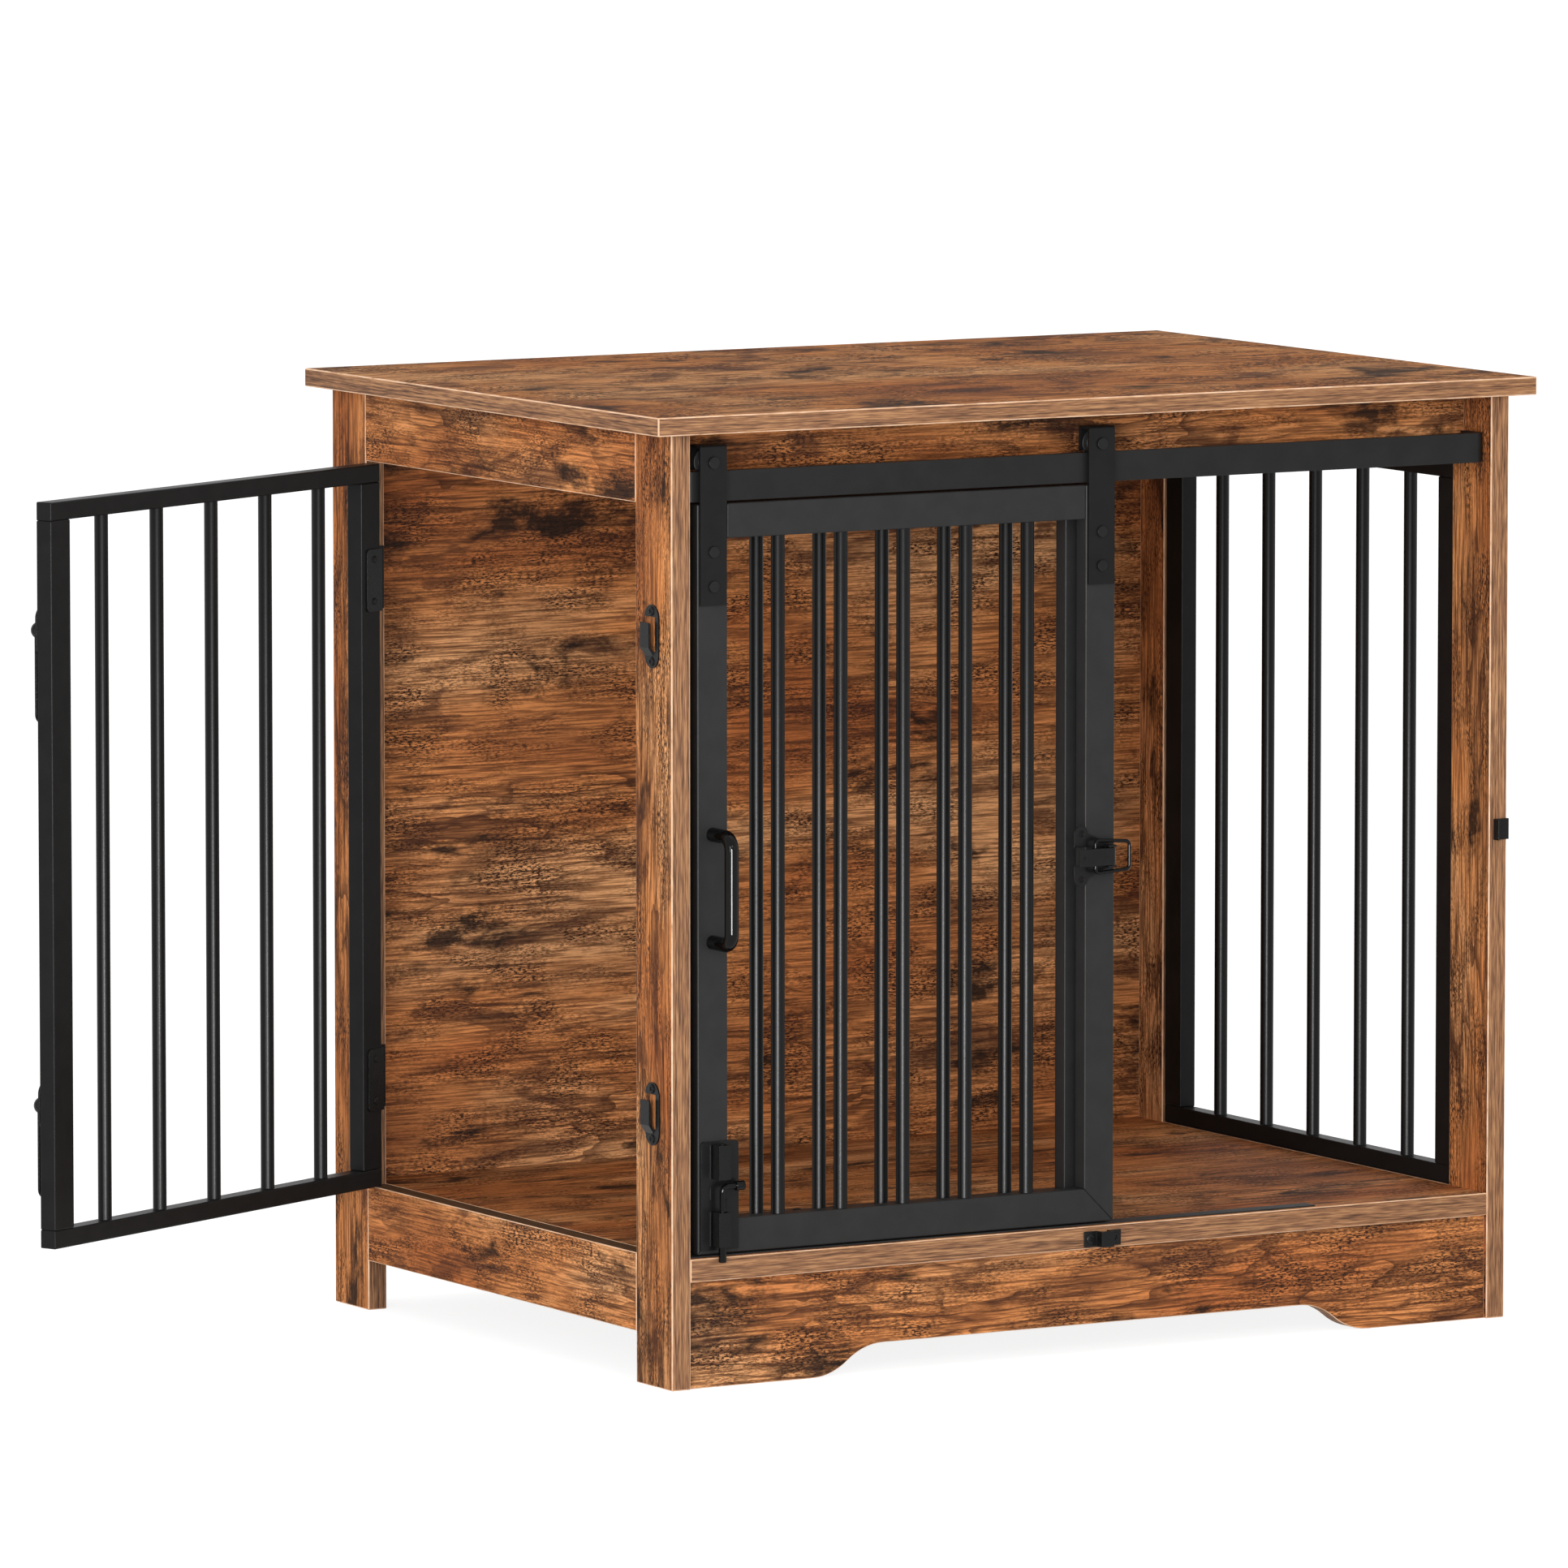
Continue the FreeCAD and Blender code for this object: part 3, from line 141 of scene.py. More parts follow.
BAND_PERIOD = 0.314      # metres between the bands of a wave texture of scale 1
RING_GAP = 8 * MM        # between two growth rings
RING_WARP = 60 * MM      # how far the slow bend pushes the rings
RING_RIPPLE = 9 * MM     # how far the quick bend pushes them
KNOT_ALONG = 230         # room for one knot along the grain, in mm
KNOT_ACROSS = 110        # and across it
# Ground colours of the print, from its darker to its paler planks
BOARD_TONES = ((0.34, "#c6743f"), (0.5, "#e39558"), (0.66, "#f4b47b"))
# the top's tones: the same print darkened, as painted shade on the top
SHADED_TOP_TONES = ((0.34, "#a86433"), (0.5, "#c68147"), (0.66, "#daa06a"))


def rustic_laminate(along, name, tones=BOARD_TONES, spread=1.0, shine=0.06):
    """Melamine paper pressed on chipboard, printed as worn planks: golden brown with fine dark dashes and
    fibres, bent growth rings, brown stains, soft charcoal marks and a few knots; nearly matt. Spread widens
    the print across the grain."""
    material, tree, shader, place = new_finish("rustic_laminate_" + name)
    turned = put(tree, "ShaderNodeMapping", feeds={
        "Vector": place, "Rotation": GRAIN_TURN[along], "Location": ROLL_START[along]})
    layer = {}
    for part, (length, width, detail, rough, bent) in BOARD_LAYERS.items():
        across = repeats(width * spread)
        stretched = put(tree, "ShaderNodeMapping", feeds={
            "Vector": turned.outputs[0], "Scale": (repeats(length), across, across)})
        layer[part] = put(tree, "ShaderNodeTexNoise", feeds={
            "Vector": stretched.outputs[0], "Scale": 1.0, "Detail": detail, "Roughness": rough,
            "Distortion": bent}).outputs["Fac"]
    # growth rings: saw-toothed bands, bent by the warp and ripple layers
    sway = put(tree, "ShaderNodeMath", {"operation": "MULTIPLY"}, {0: layer["warp"], 1: RING_WARP})
    sway = put(tree, "ShaderNodeMath", {"operation": "MULTIPLY_ADD"}, {
        0: layer["ripple"], 1: RING_RIPPLE, 2: sway.outputs[0]})
    shift = put(tree, "ShaderNodeCombineXYZ", feeds={"Y": sway.outputs[0], "Z": sway.outputs[0]})
    swayed = put(tree, "ShaderNodeVectorMath", {"operation": "ADD"}, {
        0: turned.outputs[0], 1: shift.outputs[0]})
    bands = {}
    for axis in "YZ":
        bands[axis] = put(tree, "ShaderNodeTexWave", {"bands_direction": axis, "wave_profile": "SAW"}, {
            "Vector": swayed.outputs[0], "Scale": BAND_PERIOD / RING_GAP, "Distortion": 0.5, "Detail": 2.0,
            "Detail Scale": 2.0}).outputs["Fac"]
    rings = put(tree, "ShaderNodeMath", {"operation": "MAXIMUM"}, {0: bands["Y"], 1: bands["Z"]})
    # knots: small dark ovals, one to a hand's breadth or so
    knot_place = put(tree, "ShaderNodeMapping", feeds={
        "Vector": swayed.outputs[0],
        "Scale": (repeats(KNOT_ALONG), repeats(KNOT_ACROSS), repeats(KNOT_ACROSS))})
    knot = put(tree, "ShaderNodeTexVoronoi", feeds={"Vector": knot_place.outputs[0], "Scale": 1.0})
    # each mark: what shows it, from where to where it fades in, its strength, its colour, what thins it
    marks = (
        (layer["fibre"], 0.58, 0.41, 0.78, "#6b3f26", None),
        (layer["streak"], 0.57, 0.66, 0.66, "#4a2b1d", None),
        (rings.outputs[0], 0.72, 0.97, 0.76, "#45281b", (layer["zone"], 0.46, 0.58)),
        (layer["scorch"], 0.49, 0.69, 0.46, "#44281e", None),
        (layer["dash"], 0.52, 0.46, 0.96, "#331f17", (layer["thick"], 0.40, 0.62)),
        (layer["stain"], 0.555, 0.605, 0.62, "#42261d", None),
        (layer["char"], 0.56, 0.65, 0.92, "#241a16", None),
        (knot.outputs["Distance"], 0.10, 0.03, 0.85, "#221a15", None),
    )
    colour = put(tree, "ShaderNodeValToRGB", {"stops": tones}, {"Fac": layer["tone"]}).outputs["Color"]
    for source, begin, full, most, shade, thin in marks:
        amount = put(tree, "ShaderNodeMapRange", feeds={
            "Value": source, "From Min": begin, "From Max": full, "To Min": 0.0, "To Max": most}).outputs[0]
        if thin:
            cover = put(tree, "ShaderNodeMapRange", feeds={
                "Value": thin[0], "From Min": thin[1], "From Max": thin[2], "To Min": 0.1, "To Max": 1.0})
            amount = put(tree, "ShaderNodeMath", {"operation": "MULTIPLY"}, {
                0: amount, 1: cover.outputs[0]}).outputs[0]
        colour = put(tree, "ShaderNodeMix", {"data_type": "RGBA"}, {
            0: amount, 6: colour, 7: tint(shade)}).outputs[2]
    satin = put(tree, "ShaderNodeMapRange", feeds={
        "Value": layer["fibre"], "From Min": 0.3, "From Max": 0.7, "To Min": 0.74, "To Max": 0.60})
    relief = put(tree, "ShaderNodeMath", {"operation": "ADD"}, {0: layer["fibre"], 1: layer["dash"]})
    pressed = put(tree, "ShaderNodeBump", feeds={
        "Strength": 0.3, "Distance": 0.15 * MM, "Height": relief.outputs[0]})
    wire(tree, shader, {"Base Color": colour, "Roughness": satin.outputs[0],
                        "Normal": pressed.outputs[0], "IOR": 1.5, "Specular IOR Level": shine})
    return material


# Colours of the edge tape, from its dark lines to its paler ground
BAND_TONES = ((0.62, "#4d3221"), (0.76, "#78533a"), (0.88, "#946847"), (1.0, "#b3845b"))
# the dark tape: painted shade, drawn for the shaded top edges of the side skirts
SHADED_BAND_TONES = ((0.62, "#24180f"), (0.80, "#412c1a"), (1.0, "#5a4028"))


def edge_band(along, name, tones):
    """Printed tape glued on the cut edges: straight fine grain along the edge, without knots or stains.
    It is paler than the faces, or dark brown on the side skirts, the apron and the back; that dark brown is
    painted shade, drawn for the shaded top edges of the side skirts."""
    material, tree, shader, place = new_finish(name)
    turned = put(tree, "ShaderNodeMapping", feeds={"Vector": place, "Rotation": GRAIN_TURN[along]})
    grain_place = put(tree, "ShaderNodeMapping", feeds={
        "Vector": turned.outputs[0], "Scale": (repeats(80), repeats(1.4), repeats(1.4))})
    grain = put(tree, "ShaderNodeTexNoise", feeds={
        "Vector": grain_place.outputs[0], "Scale": 1.0, "Detail": 4.0, "Roughness": 0.6, "Distortion": 0.2})
    fibre_place = put(tree, "ShaderNodeMapping", feeds={
        "Vector": turned.outputs[0], "Scale": (repeats(14), repeats(0.8), repeats(0.8))})
    fibre = put(tree, "ShaderNodeTexNoise", feeds={
        "Vector": fibre_place.outputs[0], "Scale": 1.0, "Detail": 2.0, "Roughness": 0.5})
    both = put(tree, "ShaderNodeMath", {"operation": "MULTIPLY_ADD"}, {
        0: fibre.outputs["Fac"], 1: 0.7, 2: grain.outputs["Fac"]})
    tape = put(tree, "ShaderNodeValToRGB", {"stops": tones}, {"Fac": both.outputs[0]})
    pressed = put(tree, "ShaderNodeBump", feeds={
        "Strength": 0.3, "Distance": 0.2 * MM, "Height": both.outputs[0]})
    wire(tree, shader, {"Base Color": tape.outputs["Color"], "Roughness": 0.6, "IOR": 1.5,
                        "Specular IOR Level": 0.2, "Normal": pressed.outputs[0]})
    return material


def trimmed_paper_edge():
    """The trimmed line where face paper meets edge tape: a pale, slightly broken hairline."""
    material, tree, shader, place = new_finish("trimmed_paper_edge")
    wear = put(tree, "ShaderNodeTexNoise", feeds={
        "Vector": place, "Scale": repeats(14), "Detail": 3.0, "Roughness": 0.6})
    line = put(tree, "ShaderNodeValToRGB", {"stops": (
        (0.28, "#b98a66"), (0.42, "#dcae88"), (0.62, "#efc8a6"))}, {"Fac": wear.outputs["Fac"]})
    wire(tree, shader, {"Base Color": line.outputs["Color"], "Roughness": 0.6, "IOR": 1.5,
                        "Specular IOR Level": 0.3})
    return material


def coated_black(name, colours, rough, grit, relief, specular):
    """A black coating: a slow cloud between two near blacks under a skin of fine bumps. Given are the
    range of its roughness, the size of the bumps in mm, their strength, and how much it mirrors."""
    material, tree, shader, place = new_finish(name)
    cloud = put(tree, "ShaderNodeTexNoise", feeds={
        "Vector": place, "Scale": repeats(18), "Detail": 4.0, "Roughness": 0.6})
    paint = put(tree, "ShaderNodeValToRGB", {"stops": ((0.35, colours[0]), (0.65, colours[1]))},
                {"Fac": cloud.outputs["Fac"]})
    peel = put(tree, "ShaderNodeTexNoise", feeds={
        "Vector": place, "Scale": repeats(grit), "Detail": 2.0, "Roughness": 0.5})
    gloss = put(tree, "ShaderNodeMapRange", feeds={
        "Value": peel.outputs["Fac"], "From Min": 0.3, "From Max": 0.7,
        "To Min": rough[0], "To Max": rough[1]})
    skin = put(tree, "ShaderNodeBump", feeds={
        "Strength": relief, "Distance": 0.1 * MM, "Height": peel.outputs["Fac"]})
    wire(tree, shader, {"Base Color": paint.outputs["Color"], "Roughness": gloss.outputs[0], "IOR": 1.5,
                        "Specular IOR Level": specular, "Normal": skin.outputs[0]})
    return material


def turned_beech():
    """Turned beech pegs: pale pinkish-tan wood with short dark flecks along the peg."""
    material, tree, shader, place = new_finish("turned_beech")
    fleck_place = put(tree, "ShaderNodeMapping", feeds={
        "Vector": place, "Scale": (repeats(0.7), repeats(6), repeats(0.7))})
    fleck = put(tree, "ShaderNodeTexNoise", feeds={
        "Vector": fleck_place.outputs[0], "Scale": 1.0, "Detail": 2.0})
    wood = put(tree, "ShaderNodeValToRGB", {"stops": (
        (0.34, "#a77b52"), (0.5, "#c79c70"), (0.68, "#d8b389"))}, {"Fac": fleck.outputs["Fac"]})
    wire(tree, shader, {"Base Color": wood.outputs["Color"], "Roughness": 0.6, "IOR": 1.5})
    return material


LAMINATE = {axis: rustic_laminate(axis, "grain_" + axis) for axis in AXES}
# seen almost edge-on, the top's print is drawn broader so that it shows, and in darker tones that are
# painted shade
TOP_LAMINATE = rustic_laminate("x", "tabletop", SHADED_TOP_TONES, spread=2.2, shine=0.02)
BAND = {axis: edge_band(axis, "edge_band_grain_" + axis, BAND_TONES) for axis in AXES}
# the tape darkened as painted shade, for the side skirts, the apron and the back
SHADED_BAND = {axis: edge_band(axis, "edge_band_grain_" + axis + "_painted_shade", SHADED_BAND_TONES) for axis in AXES}
PAPER_EDGE = trimmed_paper_edge()
# powder coat of the front frames: satin charcoal with a fine orange-peel skin
POWDER_COAT = coated_black("black_powder_coat", ("#292929", "#2d2d2d"), (0.38, 0.46), 0.9, 0.06, 0.12)
# the same coat on the side frames and hangers, in a deeper black that is painted shade
SHADED_COAT = coated_black("powder_coat_painted_shade", ("#161616", "#1a1a1a"), (0.36, 0.44), 0.9, 0.06, 0.10)
# and on the track, between the two: its darker black is painted shade
SHADED_TRACK_COAT = coated_black(
    "black_powder_coat_on_track", ("#1f1f1f", "#232323"), (0.36, 0.44), 0.9, 0.06, 0.12)
# and on the round bars: smoother, so that each carries one bright line, and darker than the frames as
# painted shade
SHADED_BAR_COAT = coated_black(
    "black_powder_coat_on_bars", ("#0c0c0c", "#101010"), (0.30, 0.36), 0.9, 0.02, 0.14)
# thin coat on the stamped hardware: darker and tighter than the frames' powder
STAMPED = coated_black("black_coat_on_stampings", ("#101010", "#151515"), (0.26, 0.34), 0.9, 0.04, 0.16)
# enamel on the handle, bail and bolt: glossy, with a slow ripple
ENAMEL = coated_black("gloss_black_enamel", ("#060606", "#0a0a0a"), (0.05, 0.08), 3.0, 0.02, 0.16)
# screws, bolts and pins: oil-blackened, dull with a fine grit
BLACKENED = coated_black("blackened_screw_steel", ("#151515", "#1c1c1c"), (0.34, 0.44), 0.6, 0.05, 0.14)
# rollers: moulded nylon, waxy and nearly matt
NYLON = coated_black("moulded_black_nylon", ("#121212", "#1a1a1a"), (0.46, 0.58), 0.8, 0.06, 0.4)
# strip under the door: a matt black sheet with a coarser grain, laid as painted shadow along the sill
SHADOW_STRIP_BLACK = coated_black("black_strip_painted_shadow", ("#121212", "#191919"), (0.52, 0.64), 1.2, 0.10, 0.35)
BEECH = turned_beech()


def add_piece(name, shape, materials, body, nodes):
    """Makes one finished piece from a bmesh: it rides on its body and stands for its CAD nodes."""
    mesh = bpy.data.meshes.new(name)
    shape.to_mesh(mesh)
    shape.free()
    for material in materials:
        mesh.materials.append(material)
    piece = bpy.data.objects.new(name, mesh)
    bpy.context.scene.collection.objects.link(piece)
    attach(piece, body)
    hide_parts(*nodes)
    return piece


def even_shading(piece):
    """Flat faces stay flat beside their rounded edges."""
    level = piece.modifiers.new("even_shading", "WEIGHTED_NORMAL")
    level.keep_sharp = True
    level.weight = 80    # the larger faces lead


def block(shape, low, high):
    """Adds a closed box to the shape and returns its faces."""
    made = bmesh.ops.create_cube(shape, size=1.0)["verts"]
    size = Vector(high) - Vector(low)
    middle = (Vector(high) + Vector(low)) / 2
    for vert in made:
        vert.co = Vector(c * s for c, s in zip(vert.co, size)) + middle
    return {face for vert in made for face in vert.link_faces}


def soften(shape, edges, width, segments, material=-1):
    """Rounds the edges; the rounding takes the material in the given place of the list."""
    made = bmesh.ops.bevel(shape, geom=list(edges), offset=width, offset_type="OFFSET", segments=segments,
                           profile=0.5, affect="EDGES", clamp_overlap=True, material=material)
    for face in made["faces"]:
        face.smooth = True


# Boards: the node, the grain's axis, the axes whose faces are taped, the edge's rounding in mm, dark tape
# (painted shade)
BOARDS = (
    ("tabletop", "x", "xy", 0.9, False),
    ("post_front_left", "z", "yz", 0.8, False),
    ("post_front_right", "z", "yz", 0.8, False),
    ("post_back_left", "z", "yz", 0.8, False),
    ("post_back_right", "z", "yz", 0.8, False),
    ("rail_top_left", "y", "yz", 0.6, False),
    ("rail_top_right", "y", "yz", 0.6, False),
    ("skirt_left", "y", "yz", 0.6, True),
    ("skirt_right", "y", "yz", 0.6, True),
    ("apron_front", "x", "xz", 0.6, True),
    ("floor_panel", "x", "xy", 0.6, False),
    ("back_panel", "x", "xz", 0.6, True),
)
SKIRT_ROUND = 0.6 * MM
# places in a board's list of materials: the face, then the tapes by their grain, then the paper line
FIRST_TAPE = 1
PAPER_LINE = 4


def board_materials(face, dark):
    band = SHADED_BAND if dark else BAND
    return [face, band["x"], band["y"], band["z"], PAPER_EDGE]


def tape_faces(faces, taped):
    """Taped faces take the band whose grain runs along their longer side."""
    for face in faces:
        axis = max(range(3), key=lambda k: abs(face.normal[k]))
        if AXES[axis] not in taped:
            continue
        reach = [max(v.co[k] for v in face.verts) - min(v.co[k] for v in face.verts) for k in range(3)]
        face.material_index = FIRST_TAPE + reach.index(max(reach))


for node, along, taped, rounding, dark in BOARDS:
    shape = bmesh.new()
    faces = block(shape, *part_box(node))
    shape.normal_update()
    tape_faces(faces, taped)
    soften(shape, shape.edges, rounding * MM, 2, material=PAPER_LINE)
    materials = board_materials(TOP_LAMINATE if node == "tabletop" else LAMINATE[along], dark)
    even_shading(add_piece(node + "_board", shape, materials, "base", (node,)))

MERGE_GAP = 0.002 * MM   # CAD points nearer than this are one point
FLAT_ANGLE = 0.6         # and faces within this angle in degrees are one face


def cad_copy(node):
    """A merged copy of a CAD node's mesh, with its flat faces whole again."""
    shape = bmesh.new()
    shape.from_mesh(frame["nodes"][node].data)
    bmesh.ops.remove_doubles(shape, verts=shape.verts, dist=MERGE_GAP)
    bmesh.ops.dissolve_limit(shape, angle_limit=math.radians(FLAT_ANGLE), verts=shape.verts,
                             edges=shape.edges)
    shape.normal_update()
    return shape


def sharp_edges(shape, least=32):
    """Edges whose faces meet at more than this angle in degrees."""
    return [e for e in shape.edges if len(e.link_faces) == 2
            and e.calc_face_angle(0) > math.radians(least)]


# The front skirt keeps its cut-out lower edge from the CAD shape
shape = cad_copy("skirt_front")
tape_faces(shape.faces, "xz")
soften(shape, sharp_edges(shape), SKIRT_ROUND, 2, material=PAPER_LINE)
even_shading(add_piece("skirt_front_board", shape, board_materials(LAMINATE["x"], False), "base",
                       ("skirt_front",)))
# The dowels inside the joints keep their CAD mesh
for slot in frame["nodes"]["frame_dowels"].material_slots:
    slot.material = BEECH


# Box-section tube frames
def tubes(name, node, body, boxes, finish, turn=Matrix()):
    """Rounded tubes in the given boxes, turned into place."""
    shape = bmesh.new()
    for low, high in boxes:
        block(shape, low, high)
    soften(shape, shape.edges, TUBE_ROUND, 3)
    bmesh.ops.transform(shape, matrix=turn, verts=shape.verts)
    even_shading(add_piece(name, shape, [finish], body, (node,)))


def end_boxes(low, high, axis, width):
    """Two boxes of the given width at the two ends of a larger one along an axis."""
    boxes = []
    for start, end in ((low[axis], low[axis] + width), (high[axis] - width, high[axis])):
        near, far = Vector(low), Vector(high)
        near[axis], far[axis] = start, end
        boxes.append((near, far))
    return boxes


# fixed frames: the piece, its node, the axis that parts its two tubes, their width, finish
for name, node, axis, width, finish in (
        ("fixed_grille_uprights", "fixed_grille_stiles", 0, FRONT_TUBE, POWDER_COAT),
        ("fixed_grille_crossbars", "fixed_grille_rails", 2, FRONT_TUBE, POWDER_COAT),
        ("right_grille_uprights", "right_grille_stiles", 1, SIDE_STILE, SHADED_COAT),
        ("right_grille_crossbars", "right_grille_rails", 2, SIDE_RAIL, SHADED_COAT)):
    tubes(name, node, "base", end_boxes(*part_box(node), axis, width), finish)

# the side door is drawn shut and turned to where it stands
SIDE_SWING = (Matrix.Translation(HINGE_LINE) @ Matrix.Rotation(-math.radians(SIDE_OPEN), 4, "Z")
              @ Matrix.Translation(-HINGE_LINE))
side_low, side_high = zip(SIDE_X, SIDE_Y, SIDE_Z)
rail_room = Vector((0, 0, SIDE_RAIL))
tubes("side_door_uprights", "side_door_stiles", "side_door",
      end_boxes(Vector(side_low) + rail_room, Vector(side_high) - rail_room, 1, SIDE_STILE),
      SHADED_COAT, SIDE_SWING)
tubes("side_door_crossbars", "side_door_rails", "side_door",
      end_boxes(side_low, side_high, 2, SIDE_RAIL), SHADED_COAT, SIDE_SWING)


def mitred_tube(name, node, corners):
    """A tube of the barn door cut to an outline in the door's plane; corners are (x, z)."""
    low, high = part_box(node)
    shape = bmesh.new()
    front = [shape.verts.new((x, low[1], z)) for x, z in corners]
    back = [shape.verts.new((x, high[1], z)) for x, z in corners]
    shape.faces.new(front)
    shape.faces.new(back[::-1])
    for k in range(len(corners)):
        after = (k + 1) % len(corners)
        shape.faces.new((front[after], front[k], back[k], back[after]))
    bmesh.ops.recalc_face_normals(shape, faces=shape.faces)
    soften(shape, shape.edges, TUBE_ROUND, 3)
    even_shading(add_piece(name, shape, [POWDER_COAT], "sliding_door", (node,)))


for side, inner in (("left", 1), ("right", -1)):
    low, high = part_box("door_stile_" + side)
    outer_x, inner_x = (low[0], high[0]) if inner > 0 else (high[0], low[0])
    mitred_tube("door_upright_" + side, "door_stile_" + side, (
        (outer_x, low[2]), (inner_x, low[2] + FRONT_TUBE), (inner_x, high[2]), (outer_x, high[2])))
low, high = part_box("door_rail_top")
mitred_tube("door_head", "door_rail_top", (
    (low[0], low[2]), (high[0], low[2]), (high[0], high[2]), (low[0], high[2])))
low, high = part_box("door_rail_bottom")
mitred_tube("door_foot", "door_rail_bottom", (
    (low[0], low[2]), (high[0], low[2]), (high[0] - FRONT_TUBE, high[2]), (low[0] + FRONT_TUBE, high[2])))


# Rows of bars, by Geometry Nodes
def new_tree(name, inputs):
    """A Geometry Nodes tree with named inputs; returns the tree, its start and its end."""
    tree = bpy.data.node_groups.new(name, "GeometryNodeTree")
    tree.interface.new_socket("Geometry", in_out="INPUT", socket_type="NodeSocketGeometry")
    tree.interface.new_socket("Geometry", in_out="OUTPUT", socket_type="NodeSocketGeometry")
    for label, kind in inputs:
        tree.interface.new_socket(label, in_out="INPUT", socket_type=kind)
    return tree, put(tree, "NodeGroupInput").outputs, put(tree, "NodeGroupOutput")


def turned_shape(tree, heights, radii, sides):
    """A closed round shape on the z axis from matching lists of heights and radii."""
    count = len(heights)
    place = put(tree, "GeometryNodeIndexSwitch", {"data_type": "FLOAT"})
    girth = put(tree, "GeometryNodeIndexSwitch", {"data_type": "FLOAT"})
    number = put(tree, "GeometryNodeInputIndex").outputs[0]
    for chooser, values in ((place, heights), (girth, radii)):
        while len(chooser.index_switch_items) < count:
            chooser.index_switch_items.new()
        wire(tree, chooser, {"Index": number})
        wire(tree, chooser, {k + 1: value for k, value in enumerate(values)})
    height = put(tree, "ShaderNodeCombineXYZ", feeds={"Z": place.outputs[0]})
    spots = put(tree, "GeometryNodePoints", feeds={"Count": count, "Position": height.outputs[0]})
    spine = put(tree, "GeometryNodePointsToCurves", feeds={"Points": spots.outputs[0]})
    ring = put(tree, "GeometryNodeCurvePrimitiveCircle", feeds={"Resolution": sides, "Radius": 1.0})
    return put(tree, "GeometryNodeCurveToMesh", feeds={
        "Curve": spine.outputs[0], "Profile Curve": ring.outputs[0], "Scale": girth.outputs[0],
        "Fill Caps": True}).outputs[0]


def barred_row_tree():
    """A row of upright round bars, each flared into a small weld at both ends."""
    tree, given, end = new_tree("barred_row", (
        ("Foot of first bar", "NodeSocketVector"), ("Step to next bar", "NodeSocketVector"),
        ("Bars", "NodeSocketInt"), ("Bar radius", "NodeSocketFloat"), ("Bar length", "NodeSocketFloat"),
        ("Weld", "NodeSocketFloat"), ("Finish", "NodeSocketMaterial")))
    radius, length, weld = given["Bar radius"], given["Bar length"], given["Weld"]
    part = put(tree, "ShaderNodeMath", {"operation": "MULTIPLY"}, {0: weld, 1: 0.3}).outputs[0]
    flare = put(tree, "ShaderNodeMath", {"operation": "ADD"}, {0: radius, 1: weld}).outputs[0]
    waist = put(tree, "ShaderNodeMath", {"operation": "ADD"}, {0: radius, 1: part}).outputs[0]
    high = put(tree, "ShaderNodeMath", {"operation": "SUBTRACT"}, {0: length, 1: weld}).outputs[0]
    higher = put(tree, "ShaderNodeMath", {"operation": "SUBTRACT"}, {0: length, 1: part}).outputs[0]
    bar = turned_shape(tree, (0.0, part, weld, high, higher, length),
                       (flare, waist, radius, radius, waist, flare), BAR_SIDES)
    row = put(tree, "GeometryNodeMeshLine", {"mode": "OFFSET"}, {
        "Count": given["Bars"], "Start Location": given["Foot of first bar"],
        "Offset": given["Step to next bar"]})
    placed = put(tree, "GeometryNodeInstanceOnPoints", feeds={"Points": row.outputs[0], "Instance": bar})
    real = put(tree, "GeometryNodeRealizeInstances", feeds={"Geometry": placed.outputs[0]})
    coated = put(tree, "GeometryNodeSetMaterial", feeds={
        "Geometry": real.outputs[0], "Material": given["Finish"]})
    wire(tree, end, {0: coated.outputs[0]})
    return tree


def grown(tree, mesh, values):
    """Runs a tree on a mesh and returns the result as a plain mesh."""
    holder = bpy.data.objects.new("holder", mesh)
    bpy.context.scene.collection.objects.link(holder)
    modifier = holder.modifiers.new("grow", "NODES")
    modifier.node_group = tree
    for socket in tree.interface.items_tree:
        if socket.in_out == "INPUT" and socket.name in values:
            modifier[socket.identifier] = values[socket.name]
    graph = bpy.context.evaluated_depsgraph_get()
    made = bpy.data.meshes.new_from_object(holder.evaluated_get(graph), depsgraph=graph)
    bpy.data.objects.remove(holder)
    return made


def smooth_piece(name, meshes, finish, body, nodes, split=35, turn=Matrix()):
    """Joins meshes into one piece, smooth where it is round and crisp at edges above the split angle."""
    shape = bmesh.new()
    for mesh in meshes:
        shape.from_mesh(mesh)
    bmesh.ops.transform(shape, matrix=turn, verts=shape.verts)
    bmesh.ops.remove_doubles(shape, verts=shape.verts, dist=0.001 * MM)
    for face in shape.faces:
        face.smooth = True
        face.material_index = 0
    piece = add_piece(name, shape, [finish], body, nodes)
    piece.data.set_sharp_from_angle(angle=math.radians(split))


BARRED_ROW = barred_row_tree()


def bar_row(node):
    """A row of bars from one end of a node's box to the other."""
    low, high = (Vector(corner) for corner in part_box(node))
    inset = Vector((BAR_RADIUS, BAR_RADIUS, 0))
    foot = low + inset
    last = Vector((high.x, high.y, low.z)) - inset
    return grown(BARRED_ROW, bpy.data.meshes.new("row"), {
        "Foot of first bar": foot, "Step to next bar": (last - foot) / (BARS_PER_FRAME - 1),
        "Bars": BARS_PER_FRAME, "Bar radius": BAR_RADIUS, "Bar length": high.z - low.z,
        "Weld": BAR_WELD, "Finish": SHADED_BAR_COAT})


for name, body, nodes in (
        ("grille_round_bars", "base", ("fixed_grille_bars", "right_grille_bars")),
        ("barn_door_round_bars", "sliding_door", ("door_bars",)),
        ("side_door_round_bars", "side_door", ("side_door_bars",))):
    smooth_piece(name, [bar_row(node) for node in nodes], SHADED_BAR_COAT, body, nodes)

